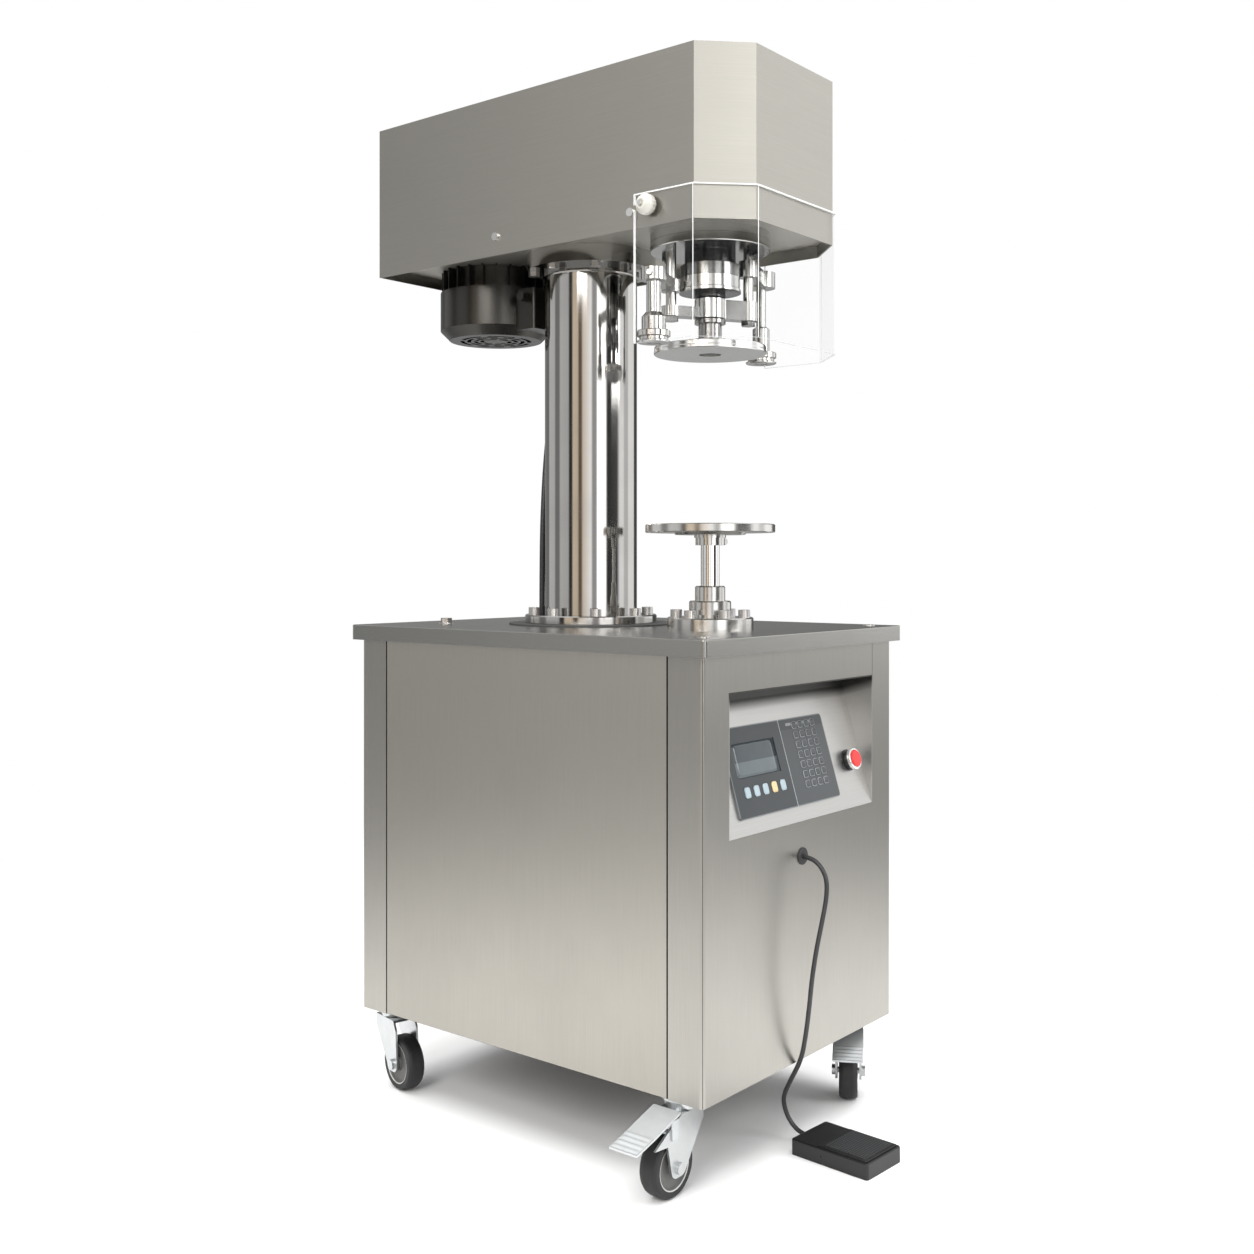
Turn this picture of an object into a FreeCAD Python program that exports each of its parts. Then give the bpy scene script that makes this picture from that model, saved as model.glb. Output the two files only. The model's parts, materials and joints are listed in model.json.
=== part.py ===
import FreeCAD, Part
import math
import os

import Sketcher

# Can seamer: a belt-driven chuck turns the can while two swinging arms press their rollers to its rim.
# Millimetres, +Z up, the front of the machine faces -Y and the floor is Z = 0.
# The origin lies on the floor under the middle of the machine's outline, castor pedals and
# foot switch included. Every size is a cell of the sheet, and each piece is bound to those cells.

SIZES = {
    # where the cabinet stands over the origin
    "centre_x": 36.0,
    "centre_y": 33.2,
    # cabinet
    "castor_height": 112.5,
    "cabinet_width": 450.0,
    "cabinet_depth": 600.0,
    "cabinet_height": 542.5,
    "cabinet_wall": 4.0,
    "cabinet_floor": 4.0,
    "cabinet_corner": 6.0,
    "front_post": 51.0,
    "rear_post": 51.0,
    "panel_thickness": 2.0,
    "panel_gap": 1.2,
    "panel_lip": 14.0,
    "panel_sill": 24.0,
    "seam_width": 0.8,
    # table top, a folded tray
    "deck_overhang": 11.0,
    "deck_skirt": 21.0,
    "deck_sheet": 3.0,
    "deck_corner": 6.0,
    "deck_edge_round": 1.5,
    "deck_bolt_inset_x": 100.0,
    "deck_bolt_inset_y": 68.0,
    "deck_disc_inset_x": 27.0,
    "deck_disc_inset_y": 20.0,
    "deck_disc_radius": 9.0,
    "deck_disc_height": 1.6,
    "deck_washer": 1.5,
    "deck_washer_rim": 3.0,
    # control recess in the front wall
    "recess_width": 346.0,
    "recess_height": 176.0,
    "recess_drop": 239.0,
    "recess_depth": 47.6,
    "recess_slope": 158.5,
    "recess_sheet": 1.5,
    "recess_flange": 12.0,
    "recess_gap": 0.3,
    # keypad
    "keypad_width": 235.0,
    "keypad_length": 113.0,
    "keypad_thickness": 3.0,
    "keypad_corner": 6.0,
    "keypad_x": -25.5,
    "keypad_up": 75.5,
    "window_width": 96.0,
    "window_length": 44.0,
    "window_x": -55.0,
    "window_up": 14.0,
    "window_depth": 1.0,
    "key_size": 11.0,
    "key_length": 13.0,
    "key_rise": 0.6,
    "key_pitch": 20.0,
    "key_first_x": -96.0,
    "key_row_up": -32.0,
    "pad_key_size": 9.0,
    "pad_key_pitch_x": 15.0,
    "pad_key_pitch_up": 13.0,
    "pad_key_first_x": 42.0,
    "pad_key_first_up": -36.0,
    "pad_key_columns": 4,
    "pad_key_rows": 7,
    # stop button
    "stop_x": 135.4,
    "stop_up": 62.8,
    "stop_ring_radius": 14.75,
    "stop_ring_thickness": 2.0,
    "stop_barrel_radius": 12.0,
    "stop_barrel_height": 7.0,
    "stop_head_radius": 14.75,
    "stop_head_height": 5.0,
    "stop_cap_radius": 11.5,
    "stop_cap_height": 8.0,
    "stop_cap_proud": 2.0,
    "stop_travel": 4.0,
    "stop_gap": 0.3,
    # cord hole and cord grommets
    "cord_diameter": 6.0,
    "cord_hole_x": -8.6,
    "cord_hole_drop": 44.3,
    "grommet_radius": 8.0,
    "grommet_flange": 11.0,
    "grommet_flange_thickness": 2.5,
    # lift under and over the table
    "lift_y": -149.0,
    "shaft_radius": 12.6,
    "fit": 0.05,
    "pedestal_radius": 58.5,
    "pedestal_flange": 15.0,
    "pedestal_step_radius": 31.0,
    "pedestal_step": 6.0,
    "pedestal_sleeve_radius": 28.4,
    "pedestal_sleeve": 16.0,
    "pedestal_neck_radius": 20.4,
    "pedestal_neck": 20.0,
    "pedestal_chamfer": 1.5,
    "pedestal_screw_circle": 46.0,
    "pedestal_screws": 6,
    "can_plate_radius": 87.6,
    "can_plate_thickness": 11.0,
    "can_plate_rise": 140.0,
    "can_plate_edge": 1.0,
    "can_plate_rib_radius": 50.0,
    "can_plate_rib": 3.0,
    "can_plate_boss_radius": 21.5,
    "can_plate_boss": 7.0,
    "can_plate_web": 4.0,
    "collar_radius": 19.7,
    "collar_height": 10.0,
    "collar_slit": 2.0,
    "collar_ear": 7.0,
    "collar_screw_radius": 2.5,
    "cylinder_radius": 38.0,
    "cylinder_wall": 6.0,
    "cylinder_length": 175.0,
    "cylinder_flange_radius": 52.0,
    "cylinder_flange": 8.0,
    "cylinder_cap": 13.0,
    "piston_thickness": 15.0,
    "lift_travel": 60.0,
    "lift_margin": 5.0,
    # column
    "column_y": 62.5,
    "column_radius": 66.5,
    "column_wall": 8.0,
    "gasket_radius": 118.0,
    "gasket_thickness": 2.0,
    "column_base_radius": 95.0,
    "column_base": 12.0,
    "column_top_radius": 94.0,
    "column_top": 12.0,
    "column_cap": 12.0,
    "column_neck_radius": 69.5,
    "column_neck": 9.6,
    "column_chamfer": 1.5,
    "column_screw_circle": 82.0,
    "column_screws": 8,
    "screw_head_radius": 8.0,
    "screw_head": 10.0,
    "screw_shank_radius": 5.0,
    "screw_socket_radius": 4.2,
    "screw_socket_depth": 5.0,
    "hex_head": 6.4,
    "hex_head_radius": 8.4,
    "cable_radius": 4.0,
    "cable_circle": 74.7,
    "cable_bottom_angle": 113.5,
    "cable_top_angle": 68.0,
    "cable_hole_gap": 1.0,
    "cable_rise": 21.0,
    "cable_turn_drop": 33.0,
    # head casing
    "head_width": 294.0,
    "head_front": 285.0,
    "head_rear": 352.6,
    "head_chamfer": 55.4,
    "head_rise": 514.0,
    "head_height": 219.0,
    "head_wall": 2.0,
    "head_plate_recess": 16.0,
    "head_plate_thickness": 6.0,
    "head_plate_gap": 0.3,
    "cover_screw_front_up": 22.0,
    "cover_screw_rear_up": 26.0,
    "cover_screw_front_y": -130.0,
    "cover_screw_rear_y": 110.0,
    "cover_screw_radius": 5.5,
    "cover_screw_head": 3.5,
    # clear guard
    "guard_gap": 1.5,
    "guard_sheet": 3.0,
    "guard_drop": 146.5,
    "guard_lap": 43.0,
    "guard_rear_y": -138.0,
    "guard_stud_y": -162.0,
    "guard_stud_up": 25.5,
    "guard_slot_radius": 3.5,
    "stud_radius": 3.0,
    "stud_length": 24.8,
    "knob_radius": 13.5,
    "knob_nose_radius": 8.0,
    "knob_length": 16.0,
    "knob_rim": 9.0,
    "knob_gap": 0.3,
    "washer_radius": 9.0,
    # seaming head, from the base plate down
    "flange_radius": 81.0,
    "flange_thickness": 11.5,
    "housing_radius": 42.0,
    "housing_height": 50.0,
    "housing_lip": 9.0,
    "bearing_outer_radius": 30.0,
    "bearing_width": 16.0,
    "spindle_radius": 12.0,
    "spindle_gap": 3.0,
    "flange_seam": 0.3,
    "arm_flange_thickness": 11.2,
    "arm_boss_radius": 34.5,
    "arm_boss": 19.0,
    "flange_nut_circle": 60.0,
    "flange_nuts": 4,
    "flange_nut_angle": 18.0,
    "nose_radius": 40.4,
    "nose_length": 36.5,
    "nose_rim": 4.0,
    "nose_rim_radius": 41.8,
    "nose_tip_radius": 20.7,
    "nose_tip": 7.5,
    "nose_hole_circle": 31.0,
    "nose_hole_radius": 4.0,
    "nose_hole_depth": 6.0,
    "bar_gap": 1.0,
    "upper_bar": 12.0,
    "lower_bar": 13.7,
    "bar_width": 22.0,
    "bar_hub_radius": 21.0,
    "bar_end_radius": 13.0,
    "rod_x": 49.0,
    "rod_y": 29.0,
    "rod_radius": 7.0,
    "rod_nut": 6.0,
    "rod_nut_radius": 10.5,
    "rod_rise": 14.0,
    "lever_length": 30.0,
    "lever_width": 12.0,
    "lever_height": 8.0,
    "chuck_ring_radius": 21.0,
    "chuck_ring": 6.0,
    "chuck_neck_radius": 15.7,
    "chuck_collar_radius": 24.8,
    "chuck_collar": 9.5,
    "chuck_radius": 76.0,
    "chuck_thickness": 10.5,
    "chuck_drop": 145.0,
    "chuck_bore_radius": 15.0,
    "chuck_bore_depth": 7.0,
    "chuck_screw_radius": 6.5,
    "chuck_lip": 2.0,
    # seaming arms and rollers
    "roller_x": 124.0,
    "roller_y": 0.0,
    "roller_radius": 21.5,
    "roller_height": 16.0,
    "roller_rise": 1.0,
    "roller_groove": 3.0,
    "roller_groove_width": 6.0,
    "roller_groove_shift": 2.5,
    "roller_pin_radius": 6.0,
    "roller_foot_radius": 8.5,
    "roller_foot": 3.0,
    "roller_foot_gap": 0.5,
    "roller_gap": 0.3,
    "roller_hole_radius": 1.6,
    "roller_hole_circle": 14.0,
    "arm_pivot_radius": 13.0,
    "arm_width": 18.0,
    "arm_fit": 0.1,
    "left_arm_drop": 64.0,
    "left_arm_height": 16.0,
    "left_arm_boss_radius": 16.5,
    "left_post_radius": 9.5,
    "left_nut_radius": 15.6,
    "left_nut_height": 23.0,
    "left_nut_taper": 6.0,
    "right_arm_drop": 37.0,
    "right_arm_height": 22.0,
    "right_arm_boss_radius": 20.0,
    "right_post_radius": 6.8,
    "right_nut_radius": 12.0,
    "right_nut_height": 36.0,
    "right_nut_taper": 3.0,
    "arm_screw_radius": 3.5,
    "arm_screw_length": 4.0,
    # drive
    "motor_y": 254.0,
    "motor_radius": 72.0,
    "motor_fin_radius": 82.0,
    "motor_fin_width": 2.4,
    "motor_fins": 24,
    "motor_drop": 32.0,
    "motor_rise": 42.0,
    "motor_flange_radius": 86.0,
    "motor_flange": 8.0,
    "motor_shaft_radius": 9.5,
    "motor_bore_gap": 1.0,
    "fan_cover_radius": 84.0,
    "fan_cover_height": 71.5,
    "fan_cover_bevel": 14.0,
    "fan_cover_wall": 2.0,
    "fan_cover_gap": 0.3,
    "grille_inner": 18.0,
    "grille_slot": 6.0,
    "grille_bar": 4.0,
    "grille_rings": 4,
    "grille_sectors": 6,
    "grille_angle": 48.0,
    "fan_radius": 72.0,
    "fan_height": 24.0,
    "fan_hub_radius": 20.0,
    "fan_blades": 6,
    "fan_blade_width": 3.0,
    "fan_clearance": 8.0,
    "pulley_rise": 90.0,
    "pulley_height": 26.0,
    "motor_pulley_radius": 40.0,
    "spindle_pulley_radius": 60.0,
    "pulley_groove": 7.0,
    "belt_width": 14.0,
    "belt_thickness": 5.0,
    "belt_gap": 0.3,
    "terminal_width": 70.0,
    "terminal_height": 60.0,
    "terminal_depth": 28.0,
    "terminal_rise": 5.5,
    "gland_radius": 7.0,
    "gland_length": 16.0,
    # things inside the cabinet
    "control_box_width": 240.0,
    "control_box_depth": 120.0,
    "control_box_drop": 95.0,
    "control_box_y": 135.0,
    "control_box_wall": 3.0,
    # foot switch
    "switch_x": -2.3,
    "switch_ahead": 59.5,
    "switch_turn": -4.0,
    "switch_width": 76.0,
    "switch_length": 114.0,
    "switch_height": 20.0,
    "switch_corner": 4.0,
    "switch_edge": 2.0,
    "treadle_width": 70.0,
    "treadle_length": 71.0,
    "treadle_gap": 1.0,
    "treadle_thickness": 6.0,
    "treadle_proud": 1.5,
    "treadle_room": 9.0,
    "treadle_front_rim": 3.0,
    "treadle_pin_radius": 2.0,
    "treadle_pin_back": 8.0,
    "treadle_pin_z": 11.0,
    "treadle_rib": 1.2,
    "treadle_ribs": 9,
    # castors
    "front_castor_inset_x": 26.0,
    "front_castor_inset_y": 52.0,
    "rear_castor_inset_x": 38.0,
    "rear_castor_inset_y": 26.5,
    "front_left_heading": 180.0,
    "front_right_heading": 209.0,
    "rear_left_heading": 257.0,
    "rear_right_heading": 305.0,
    "castor_trail": 28.0,
    "wheel_radius": 37.5,
    "wheel_width": 25.0,
    "wheel_crown": 2.5,
    "wheel_hub_radius": 27.0,
    "wheel_hub_dish": 3.5,
    "wheel_boss_radius": 10.0,
    "axle_radius": 4.0,
    "axle_head_radius": 7.0,
    "axle_head": 5.0,
    "fork_sheet": 3.0,
    "fork_gap": 2.5,
    "fork_crown_z": 95.0,
    "fork_half": 22.0,
    "fork_end_radius": 11.0,
    "raceway_radius": 20.0,
    "castor_plate_radius": 22.0,
    "castor_plate": 4.0,
    "stem_radius": 6.0,
    "stem_length": 14.0,
    "swivel_gap": 0.3,
    "pedal_width": 40.6,
    "pedal_sheet": 2.5,
    "pedal_pin_radius": 2.5,
    "pedal_pin_x": 36.6,
    "pedal_pin_z": 79.0,
    "pedal_reach": 109.0,
}


class Size:
    """A number together with the sheet expression that it comes from."""

    def __init__(self, value, text):
        self.value = float(value)
        self.text = text

    def __add__(self, other):
        other = as_size(other)
        return Size(self.value + other.value, "(%s + %s)" % (self.text, other.text))

    def __sub__(self, other):
        other = as_size(other)
        return Size(self.value - other.value, "(%s - %s)" % (self.text, other.text))

    def __mul__(self, other):
        other = as_size(other)
        return Size(self.value * other.value, "(%s * %s)" % (self.text, other.text))

    def __truediv__(self, other):
        other = as_size(other)
        return Size(self.value / other.value, "(%s / %s)" % (self.text, other.text))

    def __neg__(self):
        return Size(-self.value, "(0 - %s)" % self.text)


def as_size(number):
    """Wrap a plain number, and leave a Size as it is."""
    if isinstance(number, Size):
        return number
    return Size(number, "(0 - %s)" % -number if number < 0 else "%s" % number)


def sine(angle):
    angle = as_size(angle)
    return Size(math.sin(math.radians(angle.value)), "sin(%s)" % angle.text)


def cosine(angle):
    angle = as_size(angle)
    return Size(math.cos(math.radians(angle.value)), "cos(%s)" % angle.text)


def length_of(across, along):
    value = math.hypot(across.value, along.value)
    return Size(value, "sqrt(%s ^ 2 + %s ^ 2)" % (across.text, along.text))


def angle_of(rise, run):
    value = math.degrees(math.atan2(rise.value, run.value))
    return Size(value, "(atan2(%s; %s) / 1deg)" % (rise.text, run.text))


class Measures:
    """The sheet's sizes as attributes."""


doc = FreeCAD.newDocument("can_seamer")
sheet = doc.addObject("Spreadsheet::Sheet", "sizes")
m = Measures()
for row, (name, number) in enumerate(SIZES.items(), start=1):
    sheet.set("A%d" % row, name)
    sheet.set("B%d" % row, str(number))
    sheet.setAlias("B%d" % row, name)
    setattr(m, name, Size(number, "sizes.%s" % name))
doc.recompute()

NODES = {}
ZERO = as_size(0)
AXES = {"x": FreeCAD.Vector(1, 0, 0), "y": FreeCAD.Vector(0, 1, 0), "z": FreeCAD.Vector(0, 0, 1)}


# Binding and placing

def bind(item, path, size):
    item.setExpression(path, as_size(size).text)


def move(item, x=0, y=0, z=0, axis="z", angle=0):
    """Place an item, turned about one axis, with its place and angle bound to the sheet."""
    x, y, z, angle = as_size(x), as_size(y), as_size(z), as_size(angle)
    spot = FreeCAD.Vector(x.value, y.value, z.value)
    item.Placement = FreeCAD.Placement(spot, FreeCAD.Rotation(AXES[axis], angle.value or 1.0))
    bind(item, "Placement.Base.x", x)
    bind(item, "Placement.Base.y", y)
    bind(item, "Placement.Base.z", z)
    bind(item, "Placement.Rotation.Angle", angle)
    return item


def node(label, item, x=0, y=0, z=0, axis="z", angle=0):
    """Name a finished piece and stand it in the machine, which stands off the origin."""
    move(item, m.centre_x + x, m.centre_y + y, z, axis, angle)
    item.Label = label
    NODES[label] = item
    return item


# Part primitives and booleans

def block(name, x, y, z):
    """A box between two places along each axis."""
    item = doc.addObject("Part::Box", name)
    for path, pair in (("Length", x), ("Width", y), ("Height", z)):
        bind(item, path, as_size(pair[1]) - pair[0])
    return move(item, x[0], y[0], z[0])


def cylinder(name, radius, z, x=0, y=0, sweep=None):
    """An upright cylinder between two heights."""
    item = doc.addObject("Part::Cylinder", name)
    bind(item, "Radius", radius)
    bind(item, "Height", as_size(z[1]) - z[0])
    if sweep is not None:
        bind(item, "Angle", sweep)
    return move(item, x, y, z[0])


def lying(name, radius, length, x, y, z, axis):
    """A cylinder that runs along +X, -X, +Y or -Y from a point."""
    item = doc.addObject("Part::Cylinder", name)
    bind(item, "Radius", radius)
    bind(item, "Height", length)
    about, turn = {"+x": ("y", 90), "-x": ("y", -90), "+y": ("x", -90), "-y": ("x", 90)}[axis]
    return move(item, x, y, z, about, turn)


def cone(name, low_radius, high_radius, z, x=0, y=0):
    item = doc.addObject("Part::Cone", name)
    bind(item, "Radius1", low_radius)
    bind(item, "Radius2", high_radius)
    bind(item, "Height", as_size(z[1]) - z[0])
    return move(item, x, y, z[0])


def hexagon(name, radius, z, x=0, y=0):
    item = doc.addObject("Part::Prism", name)
    item.Polygon = 6
    bind(item, "Circumradius", radius)
    bind(item, "Height", as_size(z[1]) - z[0])
    return move(item, x, y, z[0])


def fuse(name, items):
    item = doc.addObject("Part::MultiFuse", name)
    item.Shapes = items
    return item


def group(name, items):
    item = doc.addObject("Part::Compound", name)
    item.Links = items
    return item


def cut(name, base, tools):
    item = doc.addObject("Part::Cut", name)
    item.Base = base
    item.Tool = tools[0] if len(tools) == 1 else group(name + "_tools", tools)
    return item


# PartDesign bodies

def new_body(name):
    return doc.addObject("PartDesign::Body", name)


def origin_plane(body, role):
    for feature in body.Origin.OriginFeatures:
        if feature.Role == role:
            return feature
    raise ValueError(role)


def new_sketch(body, role, name, offset=0):
    """A sketch on one of the body's origin planes, moved along the plane's normal."""
    sketch = body.newObject("Sketcher::SketchObject", name)
    sketch.AttachmentSupport = (origin_plane(body, role), [""])
    sketch.MapMode = "FlatFace"
    bind(sketch, "AttachmentOffset.Base.z", offset)
    return sketch


def fix_point(sketch, element, end, x, y):
    for kind, size in (("DistanceX", as_size(x)), ("DistanceY", as_size(y))):
        rule = Sketcher.Constraint(kind, -1, 1, element, end, size.value)
        bind(sketch, "Constraints[%d]" % sketch.addConstraint(rule), size)


def outline(sketch, points):
    """A closed outline of straight lines, each corner held by its two coordinates."""
    points = [(as_size(x), as_size(y)) for x, y in points]
    first = sketch.GeometryCount
    count = len(points)
    for index in range(count):
        here, there = points[index], points[(index + 1) % count]
        start = FreeCAD.Vector(here[0].value, here[1].value, 0)
        finish = FreeCAD.Vector(there[0].value, there[1].value, 0)
        sketch.addGeometry(Part.LineSegment(start, finish), False)
    for index in range(count):
        after = first + (index + 1) % count
        sketch.addConstraint(Sketcher.Constraint("Coincident", first + index, 2, after, 1))
    for index, (x, y) in enumerate(points):
        fix_point(sketch, first + index, 1, x, y)
    return sketch


def rectangle(sketch, x, y):
    return outline(sketch, [(x[0], y[0]), (x[1], y[0]), (x[1], y[1]), (x[0], y[1])])


def ring(sketch, x, y, radius):
    """A circle held by its centre and radius."""
    x, y, radius = as_size(x), as_size(y), as_size(radius)
    middle = FreeCAD.Vector(x.value, y.value, 0)
    element = sketch.addGeometry(Part.Circle(middle, AXES["z"], radius.value), False)
    fix_point(sketch, element, 3, x, y)
    rule = Sketcher.Constraint("Radius", element, radius.value)
    bind(sketch, "Constraints[%d]" % sketch.addConstraint(rule), radius)
    return sketch


def pad(body, sketch, length, midplane=False, backwards=False):
    feature = body.newObject("PartDesign::Pad", sketch.Name + "_pad")
    feature.Profile = sketch
    feature.Midplane = midplane
    feature.Reversed = backwards
    bind(feature, "Length", length)
    return feature


def pocket(body, sketch, length=None, midplane=False, backwards=False):
    """A pocket of the given depth, or right through; backwards cuts along the plane's normal."""
    feature = body.newObject("PartDesign::Pocket", sketch.Name + "_pocket")
    feature.Profile = sketch
    feature.Midplane = midplane
    feature.Reversed = backwards
    if length is None:
        feature.Type = "ThroughAll"
    else:
        bind(feature, "Length", length)
    return feature


def turned(name, points):
    """A body turned about its own Z axis from an outline of (radius, height) corners."""
    body = new_body(name)
    sketch = outline(new_sketch(body, "XZ_Plane", name + "_profile"), points)
    feature = body.newObject("PartDesign::Revolution", name + "_turn")
    feature.Profile = sketch
    feature.ReferenceAxis = (sketch, ["V_Axis"])
    feature.Angle = 360
    return body


def drill_circle(body, radius, x, count, name, depth=None, start=0, y=0):
    """Drill a ring of equal holes about the body's axis."""
    sketch = ring(new_sketch(body, "XY_Plane", name, start), x, y, radius)
    feature = pocket(body, sketch, depth, midplane=depth is None, backwards=depth is not None)
    pattern = body.newObject("PartDesign::PolarPattern", name + "_pattern")
    pattern.Originals = [feature]
    pattern.Axis = (sketch, ["N_Axis"])
    pattern.Angle = 360
    bind(pattern, "Occurrences", count)
    body.Tip = pattern
    return pattern


def edge_names(feature, wanted):
    """Names of the edges of a feature that a test picks."""
    doc.recompute()
    edges = feature.Shape.Edges
    return ["Edge%d" % number for number, edge in enumerate(edges, start=1) if wanted(edge)]


def is_upright(edge):
    first, last = edge.Vertexes[0].Point, edge.Vertexes[-1].Point
    flat = math.hypot(first.x - last.x, first.y - last.y)
    return flat < 0.001 and abs(first.z - last.z) > 0.001


def round_edges(body, feature, wanted, radius):
    item = body.newObject("PartDesign::Fillet", feature.Name + "_round")
    item.Base = (feature, edge_names(feature, wanted))
    bind(item, "Radius", radius)
    return item


def rounded_block(name, x, y, z, corner, top_round=None):
    """A block with rounded upright edges, and a rounded top edge where asked."""
    body = new_body(name)
    sketch = rectangle(new_sketch(body, "XY_Plane", name + "_plan", z[0]), x, y)
    last = round_edges(body, pad(body, sketch, as_size(z[1]) - z[0]), is_upright, corner)
    if top_round is not None:
        top = as_size(z[1]).value

        def on_top(edge):
            return all(abs(point.Point.z - top) < 0.001 for point in edge.Vertexes)

        round_edges(body, last, on_top, top_round)
    return body


# Heights and places that several pieces share

half_width = m.cabinet_width / 2
half_depth = m.cabinet_depth / 2
cabinet_top = m.castor_height + m.cabinet_height
deck_top = cabinet_top + m.deck_sheet
skirt_bottom = deck_top - m.deck_skirt
recess_bottom = cabinet_top - m.recess_drop
cord_hole_z = recess_bottom - m.cord_hole_drop
control_box_top = cabinet_top - m.control_box_drop
can_plate_top = deck_top + m.can_plate_rise
head_bottom = deck_top + m.head_rise
cover_screw_front_z = head_bottom + m.cover_screw_front_up
cover_screw_rear_z = head_bottom + m.cover_screw_rear_up
guard_bottom = head_bottom - m.guard_drop
guard_top = head_bottom + m.guard_lap
guard_stud_z = head_bottom + m.guard_stud_up
chuck_bottom = head_bottom - m.chuck_drop
left_arm_bottom = head_bottom - m.left_arm_drop
right_arm_bottom = head_bottom - m.right_arm_drop
pulley_z = head_bottom + m.pulley_rise
deck_bolt_x = half_width - m.deck_bolt_inset_x
deck_bolt_y = half_depth - m.deck_bolt_inset_y
deck_disc_x = half_width - m.deck_disc_inset_x
deck_disc_y = half_depth - m.deck_disc_inset_y
front_castor_x = half_width - m.front_castor_inset_x
front_castor_y = half_depth - m.front_castor_inset_y
rear_castor_x = half_width - m.rear_castor_inset_x
rear_castor_y = half_depth - m.rear_castor_inset_y
switch_y = -half_depth - m.switch_ahead
slope_angle = angle_of(m.recess_depth, m.recess_slope)
head_plate_z = head_bottom + m.head_plate_recess
flange_bottom = head_plate_z - m.flange_thickness
arm_flange_top = flange_bottom - m.flange_seam
arm_flange_bottom = arm_flange_top - m.arm_flange_thickness
nose_top = arm_flange_bottom - m.arm_boss
nose_bottom = nose_top - m.nose_length
tip_bottom = nose_bottom - m.nose_tip
upper_bar_top = tip_bottom - m.bar_gap
lower_bar_top = upper_bar_top - m.upper_bar
bars_bottom = lower_bar_top - m.lower_bar
chuck_top = chuck_bottom + m.chuck_thickness
head_plate_top = head_plate_z + m.head_plate_thickness
cylinder_ceiling = cabinet_top - m.cylinder_cap
piston_top = cylinder_ceiling - m.lift_travel - m.lift_margin
piston_bottom = piston_top - m.piston_thickness
can_plate_bottom = can_plate_top - m.can_plate_thickness
boss_underside = can_plate_bottom - m.can_plate_boss
flange_top = deck_top + m.gasket_thickness + m.column_base
column_head_bottom = head_plate_z - m.column_cap - m.column_top


def polar_place(radius, angle):
    return as_size(radius) * cosine(angle), as_size(radius) * sine(angle)


def ring_angles(count, start=0.0):
    return [start + 360.0 * index / count for index in range(int(count))]


# Cabinet

def cabinet_frame():
    """Welded carcass: posts, floor, front wall and rails, open for the panels and the recess."""
    x = (-half_width, half_width)
    y = (-half_depth, half_depth)
    wall = m.cabinet_wall
    shell = rounded_block("carcass", x, y, (m.castor_height, cabinet_top), m.cabinet_corner)
    tools = [block("carcass_inside", (x[0] + wall, x[1] - wall), (y[0] + wall, y[1] - wall),
                   (m.castor_height + m.cabinet_floor, cabinet_top + 1))]
    seat_y = (y[0] + m.front_post, y[1] - m.rear_post)
    window_y = (seat_y[0] + m.panel_lip, seat_y[1] - m.panel_lip)
    window_z = (m.castor_height + m.panel_sill, cabinet_top - m.panel_sill - m.deck_skirt)
    seat_z = (m.castor_height - 1, cabinet_top + 1)
    for side, face in (("left", x[0]), ("right", x[1])):
        inward = 1 if side == "left" else -1
        seat = sorted((face - inward * 1, face + m.panel_thickness * inward), key=lambda s: s.value)
        hole = sorted((face - inward * 1, face + (wall + 1) * inward), key=lambda s: s.value)
        tools.append(block(side + "_seat", seat, seat_y, seat_z))
        tools.append(block(side + "_window", hole, window_y, window_z))
    rear_seat_x = (x[0] + m.rear_post, x[1] - m.rear_post)
    rear_window_x = (rear_seat_x[0] + m.panel_lip, rear_seat_x[1] - m.panel_lip)
    tools.append(block("rear_seat", rear_seat_x, (y[1] - m.panel_thickness, y[1] + 1), seat_z))
    tools.append(block("rear_window", rear_window_x, (y[1] - wall - 1, y[1] + 1), window_z))
    recess_x = (-m.recess_width / 2, m.recess_width / 2)
    recess_z = (recess_bottom, recess_bottom + m.recess_height)
    tools.append(block("recess_hole", recess_x, (y[0] - 1, y[0] + wall + 1), recess_z))
    seam_x = (recess_x[1] - m.seam_width, recess_x[1])
    tools.append(block("seam", seam_x, (y[0] - 1, y[0] + m.seam_width), (recess_z[1] - 1, cabinet_top + 1)))
    tools.append(lying("cord_hole", m.grommet_radius + m.fit, wall + 2, m.cord_hole_x, y[0] - 1,
                       cord_hole_z, "+y"))
    for number, (stem_x, stem_y, heading) in enumerate(castor_places()):
        tools.append(cylinder("stem_hole_%d" % number, m.stem_radius + m.fit,
                              (m.castor_height - 1, m.castor_height + m.cabinet_floor + 1), stem_x, stem_y))
    node("cabinet_frame", cut("cabinet_frame", shell, tools))


def panels():
    """Flush lift-off panels, seated on the lips behind the posts."""
    z = (m.castor_height + m.panel_gap, skirt_bottom + m.panel_lip)
    y = (-half_depth + m.front_post + m.panel_gap, half_depth - m.rear_post - m.panel_gap)
    left = block("panel_left", (-half_width, -half_width + m.panel_thickness), y, z)
    right = block("panel_right", (half_width - m.panel_thickness, half_width), y, z)
    node("side_panels", group("side_panels", [left, right]))
    edge = half_width - m.rear_post - m.panel_gap
    rear = block("panel_rear", (-edge, edge), (half_depth - m.panel_thickness, half_depth), z)
    node("rear_panel", group("rear_panel", [rear]))


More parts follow.
